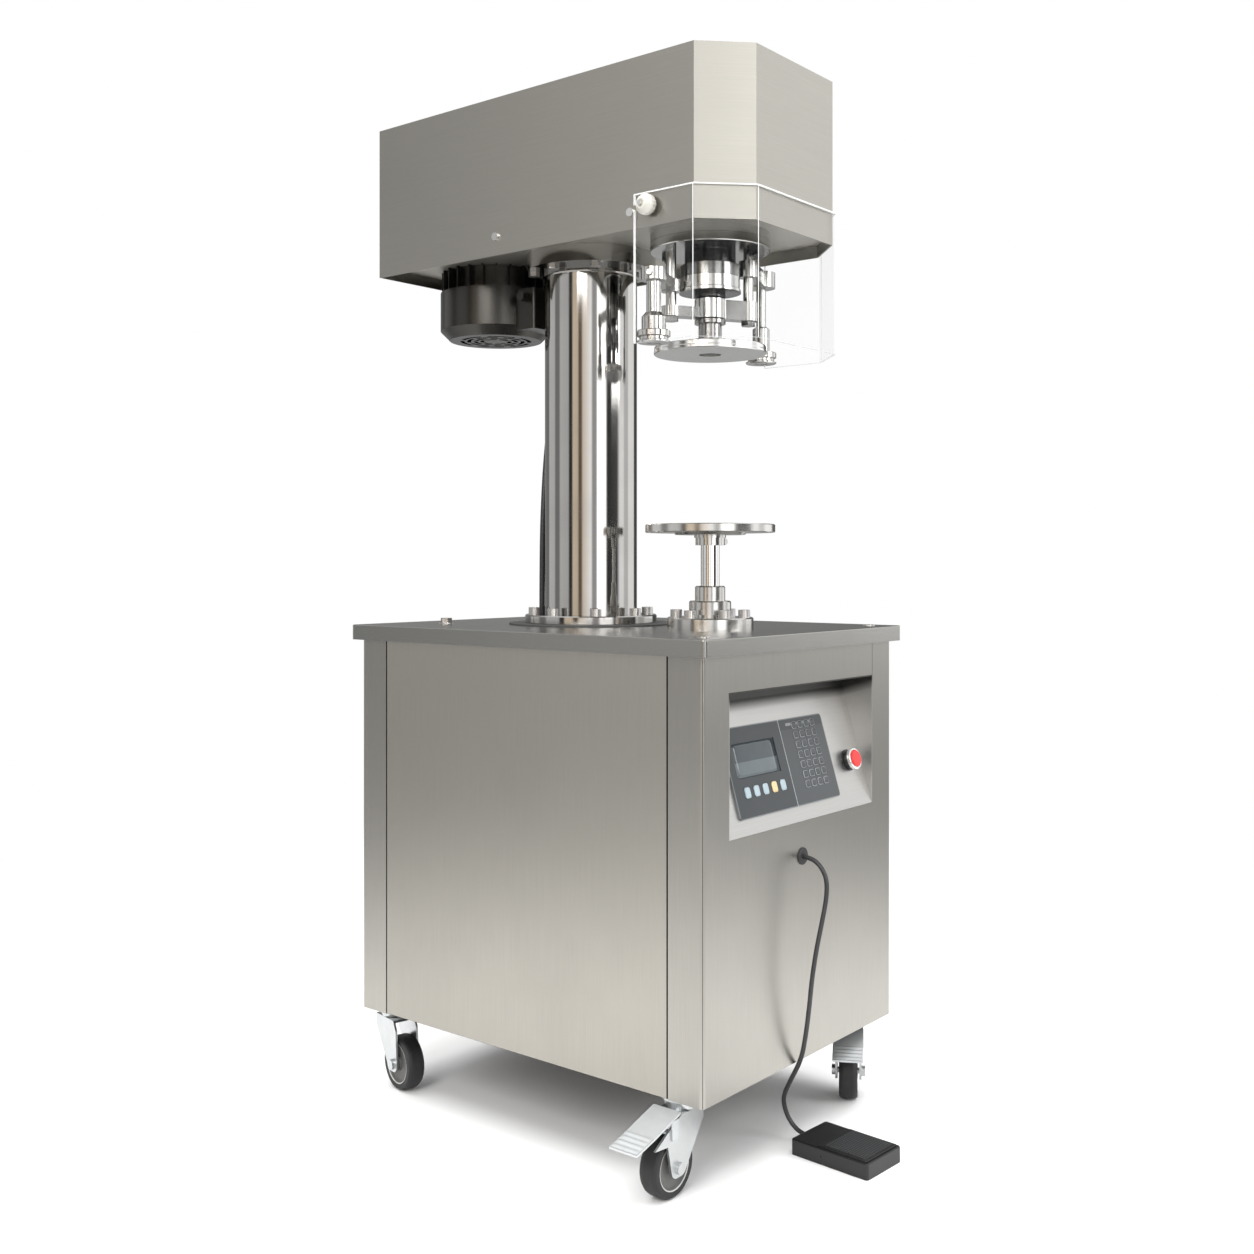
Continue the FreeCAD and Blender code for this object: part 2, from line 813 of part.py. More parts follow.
def table_top():
    """Folded tray with a skirt round the top of the cabinet."""
    x = half_width + m.deck_overhang
    y = half_depth + m.deck_overhang
    tray = rounded_block("deck", (-x, x), (-y, y), (skirt_bottom, deck_top), m.deck_corner,
                         m.deck_edge_round)
    inside = block("deck_inside", (-x + m.deck_sheet, x - m.deck_sheet),
                   (-y + m.deck_sheet, y - m.deck_sheet), (skirt_bottom - 1, cabinet_top))
    reach = (cabinet_top - 1, deck_top + 1)
    shaft_hole = cylinder("deck_shaft_hole", m.shaft_radius + 2, reach, 0, m.lift_y)
    place = polar_place(m.cable_circle, m.cable_bottom_angle)
    cable_hole = cylinder("deck_cable_hole", m.cable_radius + m.cable_hole_gap, reach,
                          place[0], m.column_y + place[1])
    node("table_top", cut("table_top", tray, [inside, shaft_hole, cable_hole]))


def control_recess():
    """Folded tray in the front wall: sloped panel, two cheeks, ceiling and back wall."""
    body = new_body("recess_tray")
    half = m.recess_width / 2 - m.recess_gap
    low = recess_bottom + m.recess_gap
    high = recess_bottom + m.recess_height - m.recess_gap
    front = -half_depth
    deep = front + m.recess_depth
    crest = low + m.recess_slope
    sheet_wall = m.recess_sheet
    section = [(front, low), (front, high), (deep + sheet_wall, high), (deep + sheet_wall, crest),
               (front + sheet_wall, low)]
    profile = outline(new_sketch(body, "YZ_Plane", "recess_section"), section)
    pad(body, profile, half * 2, midplane=True)
    back = front + m.cabinet_wall
    rim = new_sketch(body, "XZ_Plane", "recess_rim", -back)
    rectangle(rim, (-half - m.recess_flange, half + m.recess_flange),
              (low - m.recess_flange, high + m.recess_flange))
    rectangle(rim, (-half, half), (low, high))
    pad(body, rim, sheet_wall, backwards=True)
    ceiling = high - sheet_wall
    hollow = [(front - 1, low), (front, low), (deep, crest), (deep, ceiling), (front - 1, ceiling)]
    cavity = outline(new_sketch(body, "YZ_Plane", "recess_cavity"), hollow)
    pocket(body, cavity, (half - sheet_wall) * 2, midplane=True)
    node("control_recess", body)


def on_slope(label, item, x, up):
    """Lay a piece on the sloped panel, its own Z along the panel's outward normal."""
    y = -half_depth + up * sine(slope_angle)
    z = recess_bottom + m.recess_gap + up * cosine(slope_angle)
    return node(label, item, x, y, z, "x", as_size(90) - slope_angle)


def control_plate():
    """Membrane keypad with a display window and raised keys."""
    wide, tall = m.keypad_width / 2, m.keypad_length / 2
    plate = rounded_block("keypad", (-wide, wide), (-tall, tall), (ZERO, m.keypad_thickness),
                          m.keypad_corner)
    window = block("keypad_window",
                   (m.window_x - m.window_width / 2, m.window_x + m.window_width / 2),
                   (m.window_up - m.window_length / 2, m.window_up + m.window_length / 2),
                   (m.keypad_thickness - m.window_depth, m.keypad_thickness + 1))
    keys = []
    z = (m.keypad_thickness - m.key_rise, m.keypad_thickness + m.key_rise)
    for number in range(5):
        x = m.key_first_x + m.key_pitch * number
        keys.append(block("soft_key_%d" % number, (x, x + m.key_size),
                          (m.key_row_up, m.key_row_up + m.key_length), z))
    for column in range(int(m.pad_key_columns.value)):
        for row in range(int(m.pad_key_rows.value)):
            x = m.pad_key_first_x + m.pad_key_pitch_x * column
            up = m.pad_key_first_up + m.pad_key_pitch_up * row
            keys.append(block("pad_key_%d_%d" % (column, row), (x, x + m.pad_key_size),
                              (up, up + m.pad_key_size), z))
    plate_with_window = cut("keypad_plate", plate, [window])
    on_slope("control_plate", fuse("control_plate", [plate_with_window] + keys), m.keypad_x, m.keypad_up)


def stop_button():
    """Stop button: fixed ring, barrel and head, and the cap that is pressed into them."""
    ring_top = m.stop_ring_thickness
    barrel_top = ring_top + m.stop_barrel_height
    head_top = barrel_top + m.stop_head_height
    bore = m.stop_cap_radius + m.stop_gap
    floor = head_top + m.stop_cap_proud - m.stop_cap_height - m.stop_travel - 1
    bezel = turned("stop_bezel", [
        (ZERO, ZERO), (m.stop_ring_radius, ZERO), (m.stop_ring_radius, ring_top),
        (m.stop_barrel_radius, ring_top), (m.stop_barrel_radius, barrel_top - 1),
        (m.stop_head_radius, barrel_top), (m.stop_head_radius, head_top - 1),
        (m.stop_head_radius - 1, head_top), (bore, head_top), (bore, barrel_top),
        (bore - 2, barrel_top - 1), (bore - 2, floor), (ZERO, floor)])
    on_slope("stop_bezel", bezel, m.stop_x, m.stop_up)
    cap_top = head_top + m.stop_cap_proud
    stem = m.stop_cap_radius - 2.5
    cap = turned("stop_button", [
        (ZERO, cap_top - m.stop_cap_height), (stem, cap_top - m.stop_cap_height),
        (stem, barrel_top + m.stop_travel + 0.5), (m.stop_cap_radius, barrel_top + m.stop_travel + 0.5),
        (m.stop_cap_radius, cap_top - 1), (m.stop_cap_radius - 1, cap_top), (ZERO, cap_top)])
    on_slope("stop_button", cap, m.stop_x, m.stop_up)


def grommet(name, bore):
    """Rubber grommet along +Z, its flange on the outer face at Z = 0."""
    wall = m.cabinet_wall
    outer = m.grommet_flange
    return turned(name, [
        (bore, -wall), (m.grommet_radius, -wall), (m.grommet_radius, ZERO), (outer, ZERO),
        (outer, m.grommet_flange_thickness / 2), (outer - 1.5, m.grommet_flange_thickness),
        (bore, m.grommet_flange_thickness)])


def cord_grommet():
    item = grommet("cord_grommet", m.cord_diameter / 2 + m.fit)
    node("cord_grommet", item, m.cord_hole_x, -half_depth, cord_hole_z, "x", 90)


def deck_fasteners():
    """Hex bolts and flat disc screws in the table top, as a list."""
    washer_top = deck_top + m.deck_washer
    pieces = []
    for side in (-1, 1):
        x = deck_bolt_x * side
        washer = cylinder("deck_washer_%d" % side, m.hex_head_radius + m.deck_washer_rim, (deck_top, washer_top), x,
                          deck_bolt_y)
        head = hexagon("deck_hex_%d" % side, m.hex_head_radius, (washer_top, washer_top + m.hex_head),
                       x, deck_bolt_y)
        pieces.append(fuse("deck_bolt_%d" % side, [washer, head]))
        pieces.append(cylinder("deck_disc_%d" % side, m.deck_disc_radius,
                               (deck_top, deck_top + m.deck_disc_height), deck_disc_x * side,
                               -deck_disc_y))
    return pieces


def control_box():
    """Closed steel box for the electrics, standing on the cabinet's floor under the cable."""
    half = m.control_box_width / 2
    y = (m.control_box_y - m.control_box_depth / 2, m.control_box_y + m.control_box_depth / 2)
    floor = m.castor_height + m.cabinet_floor
    wall = m.control_box_wall
    case = rounded_block("electrics", (-half, half), y, (floor, control_box_top), m.cabinet_corner)
    inside = block("electrics_inside", (-half + wall, half - wall), (y[0] + wall, y[1] - wall),
                   (floor - 1, control_box_top - wall))
    node("control_box", cut("control_box", case, [inside]))


# Lift and can plate

def lift_housing():
    """Flanged guide for the lift shaft, with its screws on the table top."""
    step = deck_top + m.pedestal_flange
    sleeve = step + m.pedestal_step
    neck = sleeve + m.pedestal_sleeve
    top = neck + m.pedestal_neck
    bore = m.shaft_radius + m.fit
    bevel = m.pedestal_chamfer
    body = turned("lift_housing", [
        (bore, deck_top), (m.pedestal_radius, deck_top), (m.pedestal_radius, step - bevel),
        (m.pedestal_radius - bevel, step), (m.pedestal_step_radius - 8, step),
        (m.pedestal_step_radius - 8, sleeve - 2), (m.pedestal_sleeve_radius, sleeve - 2),
        (m.pedestal_sleeve_radius, neck - bevel), (m.pedestal_sleeve_radius - bevel, neck),
        (m.pedestal_neck_radius, neck), (m.pedestal_neck_radius, top - bevel),
        (m.pedestal_neck_radius - bevel, top), (bore, top)])
    drill_circle(body, m.screw_shank_radius + 0.3, m.pedestal_screw_circle, m.pedestal_screws,
                 "pedestal_holes", m.pedestal_flange + 1, deck_top - 1)
    node("lift_housing", body, 0, m.lift_y)


def cap_screw(name, x, y, seat, grip):
    """Socket cap screw: head on its seat, shank down through the grip."""
    head = cylinder(name + "_head", m.screw_head_radius, (seat, seat + m.screw_head), x, y)
    shank = cylinder(name + "_shank", m.screw_shank_radius, (seat - grip, seat), x, y)
    socket = hexagon(name + "_socket", m.screw_socket_radius,
                     (seat + m.screw_head - m.screw_socket_depth, seat + m.screw_head + 1), x, y)
    return cut(name, fuse(name + "_blank", [head, shank]), [socket])


def deck_screws():
    """All screws of the table top, the column's base, the lift housing and the column's head."""
    pieces = deck_fasteners()
    count = int(m.pedestal_screws.value)
    for number, angle in enumerate(ring_angles(count)):
        x, y = polar_place(m.pedestal_screw_circle, angle)
        seat = deck_top + m.pedestal_flange
        pieces.append(cap_screw("pedestal_screw_%d" % number, x, m.lift_y + y, seat, m.pedestal_flange))
    count = int(m.column_screws.value)
    for number, angle in enumerate(ring_angles(count)):
        x, y = polar_place(m.column_screw_circle, angle)
        pieces.append(cap_screw("base_screw_%d" % number, x, m.column_y + y, flange_top, m.column_base))
        z = (column_head_bottom - m.hex_head, column_head_bottom)
        head = hexagon("top_hex_%d" % number, m.hex_head_radius, z, x, m.column_y + y)
        shank = cylinder("top_shank_%d" % number, m.screw_shank_radius,
                         (column_head_bottom, column_head_bottom + m.column_top), x, m.column_y + y)
        pieces.append(fuse("top_bolt_%d" % number, [head, shank]))
    node("deck_screws", group("deck_screws", pieces))


def lift_shaft():
    """Ground shaft with the piston at its foot and the can plate on its top."""
    top = can_plate_top - m.can_plate_web - m.lift_margin / 10
    piston = m.cylinder_radius - m.cylinder_wall - m.fit
    body = turned("lift_shaft", [
        (ZERO, piston_bottom), (piston, piston_bottom), (piston, piston_top),
        (m.shaft_radius, piston_top), (m.shaft_radius, top - 1), (m.shaft_radius - 1, top), (ZERO, top)])
    node("lift_shaft", body, 0, m.lift_y)


def lift_cylinder():
    """Barrel that raises the shaft, hung under the table top."""
    barrel_bottom = cabinet_top - m.cylinder_length
    bore = m.shaft_radius + m.fit
    inner = m.cylinder_radius - m.cylinder_wall
    outline_points = [
        (ZERO, barrel_bottom), (m.cylinder_radius, barrel_bottom),
        (m.cylinder_radius, cabinet_top - m.cylinder_flange),
        (m.cylinder_flange_radius, cabinet_top - m.cylinder_flange), (m.cylinder_flange_radius, cabinet_top),
        (bore, cabinet_top), (bore, cylinder_ceiling), (inner, cylinder_ceiling),
        (inner, barrel_bottom + m.cylinder_wall), (ZERO, barrel_bottom + m.cylinder_wall)]
    node("lift_cylinder", turned("lift_cylinder", outline_points), 0, m.lift_y)


def can_plate():
    """Round plate that carries the can, with a rib and a clamped boss beneath."""
    bore = m.shaft_radius + m.fit
    edge = m.can_plate_edge
    body = turned("can_plate", [
        (bore, boss_underside), (m.can_plate_boss_radius, boss_underside),
        (m.can_plate_boss_radius, can_plate_bottom - m.can_plate_rib),
        (m.can_plate_rib_radius - m.can_plate_rib, can_plate_bottom - m.can_plate_rib),
        (m.can_plate_rib_radius, can_plate_bottom), (m.can_plate_radius - edge, can_plate_bottom),
        (m.can_plate_radius, can_plate_bottom + edge), (m.can_plate_radius, can_plate_top - edge),
        (m.can_plate_radius - edge, can_plate_top), (ZERO, can_plate_top),
        (ZERO, can_plate_top - m.can_plate_web), (bore, can_plate_top - m.can_plate_web)])
    node("can_plate", body, 0, m.lift_y)


def clamp_collar():
    """Split clamp collar with its screw, under the can plate's boss."""
    z = (boss_underside - m.collar_height, boss_underside)
    tube = cylinder("collar_tube", m.collar_radius, z)
    ear_x = (m.shaft_radius + 2, m.collar_radius + m.collar_ear)
    ear = block("collar_ears", ear_x, (-m.collar_ear, m.collar_ear), (z[0] + 0.5, z[1] - 0.5))
    bore = cylinder("collar_bore", m.shaft_radius + m.fit, (z[0] - 1, z[1] + 1))
    slit = block("collar_slit", (ZERO, ear_x[1] + 1), (-m.collar_slit / 2, m.collar_slit / 2),
                 (z[0] - 1, z[1] + 1))
    screw_x = m.collar_radius + m.collar_screw_radius
    middle = boss_underside - m.collar_height / 2
    hole = lying("collar_hole", m.collar_screw_radius + m.fit, m.collar_ear * 2 + 2, screw_x,
                 -m.collar_ear - 1, middle, "+y")
    ring_body = cut("collar_ring", fuse("collar_blank", [tube, ear]), [bore, slit, hole])
    shank = lying("collar_shank", m.collar_screw_radius, m.collar_ear * 2, screw_x, -m.collar_ear, middle,
                  "+y")
    head = lying("collar_head", m.collar_screw_radius + 1.8, m.collar_ear / 2, screw_x, -m.collar_ear,
                 middle, "-y")
    screw = fuse("collar_screw", [shank, head])
    node("clamp_collar", group("clamp_collar", [ring_body, screw]), 0, m.lift_y)


# Column

def column_gasket():
    inner = m.column_radius - m.column_wall
    top = deck_top + m.gasket_thickness
    body = turned("column_gasket", [
        (inner, deck_top), (m.gasket_radius, deck_top), (m.gasket_radius, top), (inner, top)])
    drill_cable_hole(body, m.cable_bottom_angle, "gasket_cable_hole")
    node("column_gasket", body, 0, m.column_y)


def drill_cable_hole(body, angle, name):
    x, y = polar_place(m.cable_circle, angle)
    sketch = ring(new_sketch(body, "XY_Plane", name), x, y, m.cable_radius + m.cable_hole_gap)
    return pocket(body, sketch, midplane=True)


def column():
    """Welded column: chromed tube with a base flange, a neck and a top flange."""
    bottom = deck_top + m.gasket_thickness
    top = head_plate_z - m.column_cap
    inner = m.column_radius - m.column_wall
    bevel = m.column_chamfer
    tube = turned("column", [
        (inner, bottom), (m.column_base_radius, bottom), (m.column_base_radius, flange_top - bevel),
        (m.column_base_radius - bevel, flange_top), (m.column_radius, flange_top),
        (m.column_radius, column_head_bottom - m.column_neck),
        (m.column_neck_radius, column_head_bottom - m.column_neck + bevel),
        (m.column_neck_radius, column_head_bottom), (m.column_top_radius, column_head_bottom),
        (m.column_top_radius, top), (inner, top)])
    drill_circle(tube, m.screw_shank_radius + 0.3, m.column_screw_circle, m.column_screws, "column_holes")
    lower = polar_place(m.cable_circle, m.cable_bottom_angle)
    upper = polar_place(m.cable_circle, m.cable_top_angle)
    hole = m.cable_radius + m.cable_hole_gap
    low_hole = cylinder("base_cable_hole", hole, (bottom - 1, flange_top + 1), lower[0], lower[1])
    high_hole = cylinder("top_cable_hole", hole, (column_head_bottom - 1, top + 1), upper[0], upper[1])
    node("column", cut("column", tube, [low_hole, high_hole]), 0, m.column_y)


def column_cap():
    """Round spacer between the column's top flange and the head's base plate."""
    bottom = head_plate_z - m.column_cap
    body = turned("column_cap", [
        (ZERO, bottom), (m.column_top_radius, bottom), (m.column_top_radius, head_plate_z), (ZERO, head_plate_z)])
    drill_cable_hole(body, m.cable_top_angle, "cap_cable_hole")
    node("column_cap", body, 0, m.column_y)


def tube_along(route, radius):
    """A round tube along a route: straight runs joined by arcs as large as the runs allow."""
    edges = []
    radii = []
    start = route[0]
    for before, corner, after in zip(route, route[1:], route[2:]):
        back = before - corner
        ahead = after - corner
        turn = math.pi - back.getAngle(ahead)
        trim = 0.45 * min(back.Length, ahead.Length)
        arc_radius = trim / math.tan(turn / 2)
        back.normalize()
        ahead.normalize()
        arc_start = corner + back * trim
        arc_end = corner + ahead * trim
        inward = back + ahead
        inward.normalize()
        middle = corner + inward * (arc_radius / math.cos(turn / 2) - arc_radius)
        edges.append(Part.LineSegment(start, arc_start).toShape())
        edges.append(Part.Arc(arc_start, middle, arc_end).toShape())
        radii.append(round(arc_radius, 1))
        start = arc_end
    edges.append(Part.LineSegment(start, route[-1]).toShape())
    path = Part.Wire(edges)
    section = Part.Wire([Part.makeCircle(radius, route[0], route[1] - route[0])])
    solid = path.makePipeShell([section], True, False)
    print("tube bend radii", radii, "volume share", round(solid.Volume / (math.pi * radius ** 2 * path.Length), 4))
    return solid


def stand_feature(label, shape):
    """A piece whose shape is worked out here, stood in the machine like the rest."""
    item = doc.addObject("Part::Feature", label)
    item.Shape = shape
    return node(label, item)


def column_cable():
    """Cable from the electrics up the back of the column and into the head."""
    circle = sheet.cable_circle
    low, high = sheet.cable_bottom_angle, sheet.cable_top_angle
    bottom, deck = control_box_top.value, deck_top.value
    under_head, top = column_head_bottom.value, head_plate_top.value + sheet.cable_rise
    span = under_head - deck
    stations = [(-0.02, bottom), (0.0, deck - sheet.cable_turn_drop), (0.0, deck + 0.11 * span), (0.04, deck + 0.28 * span),
                (0.2, deck + 0.45 * span), (0.42, deck + 0.6 * span), (0.68, deck + 0.74 * span),
                (0.92, deck + 0.86 * span), (1.0, deck + 0.955 * span), (1.0, top)]
    route = []
    for share, height in stations:
        angle = math.radians(low + share * (high - low))
        route.append(FreeCAD.Vector(circle * math.cos(angle), sheet.column_y + circle * math.sin(angle), height))
    stand_feature("column_cable", tube_along(route, sheet.cable_radius))


# Head casing and guard

def casing_outline(inset):
    """Plan of the head, chamfered at its front corners, inset or outset all round."""
    half = m.head_width / 2 - inset
    front = -m.head_front + inset
    rear = m.head_rear - inset
    chamfer = m.head_chamfer - as_size(inset) * (2 - math.sqrt(2))
    return [(-half, rear), (-half, front + chamfer), (-half + chamfer, front),
            (half - chamfer, front), (half, front + chamfer), (half, rear)]


def head_cover():
    """Sheet-metal cover of the head, open below."""
    body = new_body("head_cover")
    top = head_bottom + m.head_height
    plan = outline(new_sketch(body, "XY_Plane", "cover_plan", head_bottom), casing_outline(ZERO))
    pad(body, plan, m.head_height)
    inside = outline(new_sketch(body, "XY_Plane", "cover_inside", head_bottom), casing_outline(m.head_wall))
    pocket(body, inside, m.head_height - m.head_wall, backwards=True)
    node("head_cover", body)
    return top


def head_base_plate():
    """Plate inside the cover that carries the spindle housing, the motor and the column."""
    body = new_body("head_base_plate")
    plan = new_sketch(body, "XY_Plane", "plate_plan", head_plate_z)
    outline(plan, casing_outline(m.head_wall + m.head_plate_gap))
    ring(plan, 0, m.lift_y, m.housing_radius + m.fit)
    for side, sign, x, y in rod_places():
        ring(plan, x, m.lift_y + y, m.rod_radius + m.cable_hole_gap)
    ring(plan, 0, m.motor_y, m.motor_radius + m.fan_cover_gap)
    cable_x, cable_y = polar_place(m.cable_circle, m.cable_top_angle)
    ring(plan, cable_x, m.column_y + cable_y, m.cable_radius + m.cable_hole_gap)
    pad(body, plan, m.head_plate_thickness)
    node("head_base_plate", body)


def head_screws():
    """Button screws of the cover, and the two threaded studs that the guard hangs on."""
    pieces = []
    for side, toward in ((-1, "-x"), (1, "+x")):
        face = m.head_width / 2 * side
        places = ((m.cover_screw_front_y, cover_screw_front_z), (m.cover_screw_rear_y, cover_screw_rear_z))
        for number, (y, z) in enumerate(places):
            name = "cover_screw_%s_%d" % ("left" if side < 0 else "right", number)
            pieces.append(lying(name, m.cover_screw_radius, m.cover_screw_head, face, y, z, toward))
        name = "guard_stud_%s" % ("left" if side < 0 else "right")
        stud = lying(name + "_rod", m.stud_radius, m.stud_length, face, m.guard_stud_y, guard_stud_z, toward)
        washer = lying(name + "_washer", m.washer_radius, m.guard_gap - m.knob_gap, face, m.guard_stud_y,
                       guard_stud_z, toward)
        pieces.append(fuse(name, [stud, washer]))
    node("head_screws", group("head_screws", pieces))


def guard_outline(offset):
    """The guard's bent line round the front of the head, at an offset outside the cover."""
    half = m.head_width / 2 + offset
    front = -m.head_front - offset
    chamfer = m.head_chamfer + as_size(offset) * (2 - math.sqrt(2))
    return [(-half, m.guard_rear_y), (-half, front + chamfer), (-half + chamfer, front),
            (half - chamfer, front), (half, front + chamfer), (half, m.guard_rear_y)]


def head_guard():
    """Clear guard bent round the front of the head, with open slots that hook on the studs."""
    body = new_body("head_guard")
    outside = guard_outline(m.guard_gap + m.guard_sheet)
    inside = guard_outline(m.guard_gap)
    plan = outline(new_sketch(body, "XY_Plane", "guard_plan", guard_bottom), outside + inside[::-1])
    pad(body, plan, guard_top - guard_bottom)
    eye = new_sketch(body, "YZ_Plane", "guard_eye")
    ring(eye, m.guard_stud_y, guard_stud_z, m.guard_slot_radius)
    pocket(body, eye, midplane=True)
    slot = new_sketch(body, "YZ_Plane", "guard_slot")
    rectangle(slot, (m.guard_stud_y, m.guard_rear_y + 1),
              (guard_stud_z - m.guard_slot_radius, guard_stud_z + m.guard_slot_radius))
    pocket(body, slot, midplane=True)
    node("head_guard", body)


def guard_knobs():
    """Nylon thumb knobs that clamp the guard on its studs."""
    bore = m.stud_radius + m.fit
    for side, turn in (("left", -90), ("right", 90)):
        body = turned("guard_knob_" + side, [
            (bore, ZERO), (m.knob_radius - 1, ZERO), (m.knob_radius, as_size(1)), (m.knob_radius, m.knob_rim),
            (m.knob_nose_radius + 2, m.knob_rim + 3), (m.knob_nose_radius, m.knob_length),
            (bore, m.knob_length)])
        face = m.head_width / 2 + m.guard_gap + m.guard_sheet + m.knob_gap
        x = -face if side == "left" else face
        node("guard_knob_" + side, body, x, m.guard_stud_y, guard_stud_z, "y", turn)


# Seaming head

def rod_places():
    """Side name, sign and place of the two pivot rods about the spindle."""
    return [("left", -1, -m.rod_x, m.rod_y), ("right", 1, m.rod_x, -m.rod_y)]


def drill_rods(body, name, start, depth):
    """Drill the running holes of both pivot rods."""
    sketch = new_sketch(body, "XY_Plane", name, start)
    for side, sign, x, y in rod_places():
        ring(sketch, x, y, m.rod_radius + m.fit)
    return pocket(body, sketch, depth, backwards=True)


def bearing_housing():
    """Flanged housing of the spindle bearings, bolted under the base plate."""
    top = head_plate_z + m.housing_height
    lip = m.spindle_radius + m.spindle_gap
    shelf = flange_bottom + m.housing_lip
    body = turned("bearing_housing", [
        (lip, flange_bottom), (m.flange_radius, flange_bottom), (m.flange_radius, head_plate_z),
        (m.housing_radius, head_plate_z), (m.housing_radius, top), (m.bearing_outer_radius, top),
        (m.bearing_outer_radius, shelf), (lip, shelf)])
    drill_rods(body, "housing_rod_holes", flange_bottom - 1, m.flange_thickness + 2)
    node("bearing_housing", body, 0, m.lift_y)


def spindle_bearings():
    """Two ball bearings of the spindle, as plain rings."""
    shelf = flange_bottom + m.housing_lip
    top = head_plate_z + m.housing_height
    inner = m.spindle_radius + m.fit
    outer = m.bearing_outer_radius - m.fit
    pieces = []
    for name, low in (("lower", shelf), ("upper", top - m.bearing_width)):
        z = (low, low + m.bearing_width)
        race = cylinder(name + "_race", outer, z)
        hole = cylinder(name + "_race_bore", inner, (z[0] - 1, z[1] + 1))
        pieces.append(cut(name + "_bearing", race, [hole]))
    node("spindle_bearings", group("spindle_bearings", pieces), 0, m.lift_y)


def arm_flange():
    """Fixed disc and boss under the housing, where the pivot rods turn."""
    bore = m.spindle_radius + m.spindle_gap
    body = turned("arm_flange_disc", [
        (bore, nose_top), (m.arm_boss_radius, nose_top), (m.arm_boss_radius, arm_flange_bottom),
        (m.flange_radius - 1, arm_flange_bottom), (m.flange_radius, arm_flange_bottom + 1),
        (m.flange_radius, arm_flange_top), (bore, arm_flange_top)])
    drill_rods(body, "flange_rod_holes", arm_flange_bottom - 1, m.arm_flange_thickness + 2)
    nuts = []
    for number, angle in enumerate(ring_angles(m.flange_nuts.value)):
        x, y = polar_place(m.flange_nut_circle, m.flange_nut_angle + angle)
        nuts.append(hexagon("flange_nut_%d" % number, m.hex_head_radius,
                            (arm_flange_bottom - m.hex_head, arm_flange_bottom), x, y))
        nuts.append(cylinder("flange_bolt_%d" % number, m.screw_shank_radius,
                             (arm_flange_bottom - m.hex_head - 3, arm_flange_bottom), x, y))
    node("arm_flange", fuse("arm_flange", [body] + nuts), 0, m.lift_y)


def nose_housing():
    """Lower spindle housing with a rim, screw holes and a bevelled tip."""
    wide = m.spindle_radius + m.spindle_gap
    bore = m.spindle_radius + m.fit
    body = turned("nose_housing", [
        (bore, tip_bottom), (m.nose_tip_radius - 2, tip_bottom), (m.nose_tip_radius, tip_bottom + 2),
        (m.nose_tip_radius, nose_bottom), (m.nose_rim_radius, nose_bottom),
        (m.nose_rim_radius, nose_bottom + m.nose_rim), (m.nose_radius, nose_bottom + m.nose_rim + 1),
        (m.nose_radius, nose_top), (wide, nose_top), (wide, nose_bottom), (bore, nose_bottom)])
    drill_circle(body, m.nose_hole_radius, m.nose_hole_circle, 2, "nose_screw_holes", m.nose_hole_depth,
                 nose_bottom)
    node("nose_housing", body, 0, m.lift_y)


def pivot_rods():
    """Pivot rods that turn with their arms: foot collar below the bars, lever inside the head."""
    foot_top = bars_bottom - m.swivel_gap
    rod_top = head_plate_top + m.rod_rise
    for side, sign, x, y in rod_places():
        name = side + "_pivot_rod"
        shapes = [
            cylinder(name + "_bar", m.rod_radius, (foot_top - m.rod_nut, rod_top)),
            hexagon(name + "_nut", m.rod_nut_radius, (foot_top - m.rod_nut, foot_top)),
            block(name + "_lever", (ZERO, m.lever_length), (-m.lever_width / 2, m.lever_width / 2),
                  (rod_top - m.lever_height, rod_top)),
        ]
        turn = as_size(180) - angle_of(m.rod_y, m.rod_x) if sign < 0 else -angle_of(m.rod_y, m.rod_x)
        node(name, fuse(name, shapes), x, m.lift_y + y, 0, "z", turn)


def bridge_bars():
    """Stacked bars that steady the feet of the pivot rods from a hub round the spindle."""
    reach = length_of(m.rod_x, m.rod_y)
    turn = -angle_of(m.rod_y, m.rod_x)
    half = m.bar_width / 2
    pieces = []
    for name, top, thickness, ends in (("upper", upper_bar_top, m.upper_bar, (1,)),
                                       ("lower", lower_bar_top, m.lower_bar, (-1, 1))):
        z = (top - thickness, top)
        shapes = [cylinder(name + "_hub", m.bar_hub_radius, z)]
        holes = [cylinder(name + "_hub_bore", m.spindle_radius + m.fit, (z[0] - 1, z[1] + 1))]
        for end in ends:
            shapes.append(cylinder(name + "_end_%d" % end, m.bar_end_radius, z, reach * end))
            span = (ZERO, reach) if end > 0 else (-reach, ZERO)
            shapes.append(block(name + "_web_%d" % end, span, (-half, half), z))
            holes.append(cylinder(name + "_bore_%d" % end, m.rod_radius + m.fit, (z[0] - 1, z[1] + 1),
                                  reach * end))
        pieces.append(move(cut(name + "_bar", fuse(name + "_blank", shapes), holes), 0, 0, 0, "z", turn))
    node("bridge_bars", group("bridge_bars", pieces), 0, m.lift_y)


def spindle_shaft():
    """Spindle that the belt turns: chuck flange, neck, ring and shaft up to the pulley."""
    top = pulley_z + m.pulley_height + 4
    ring_top = bars_bottom - m.bar_gap
    body = turned("spindle_shaft", [
        (ZERO, chuck_top), (m.chuck_collar_radius, chuck_top),
        (m.chuck_collar_radius, chuck_top + m.chuck_collar), (m.chuck_neck_radius, chuck_top + m.chuck_collar),
        (m.chuck_neck_radius, ring_top - m.chuck_ring), (m.chuck_ring_radius, ring_top - m.chuck_ring),
        (m.chuck_ring_radius, ring_top - 1), (m.chuck_ring_radius - 1, ring_top),
        (m.spindle_radius, ring_top), (m.spindle_radius, top - 1), (m.spindle_radius - 1, top), (ZERO, top)])
    node("spindle_shaft", body, 0, m.lift_y)


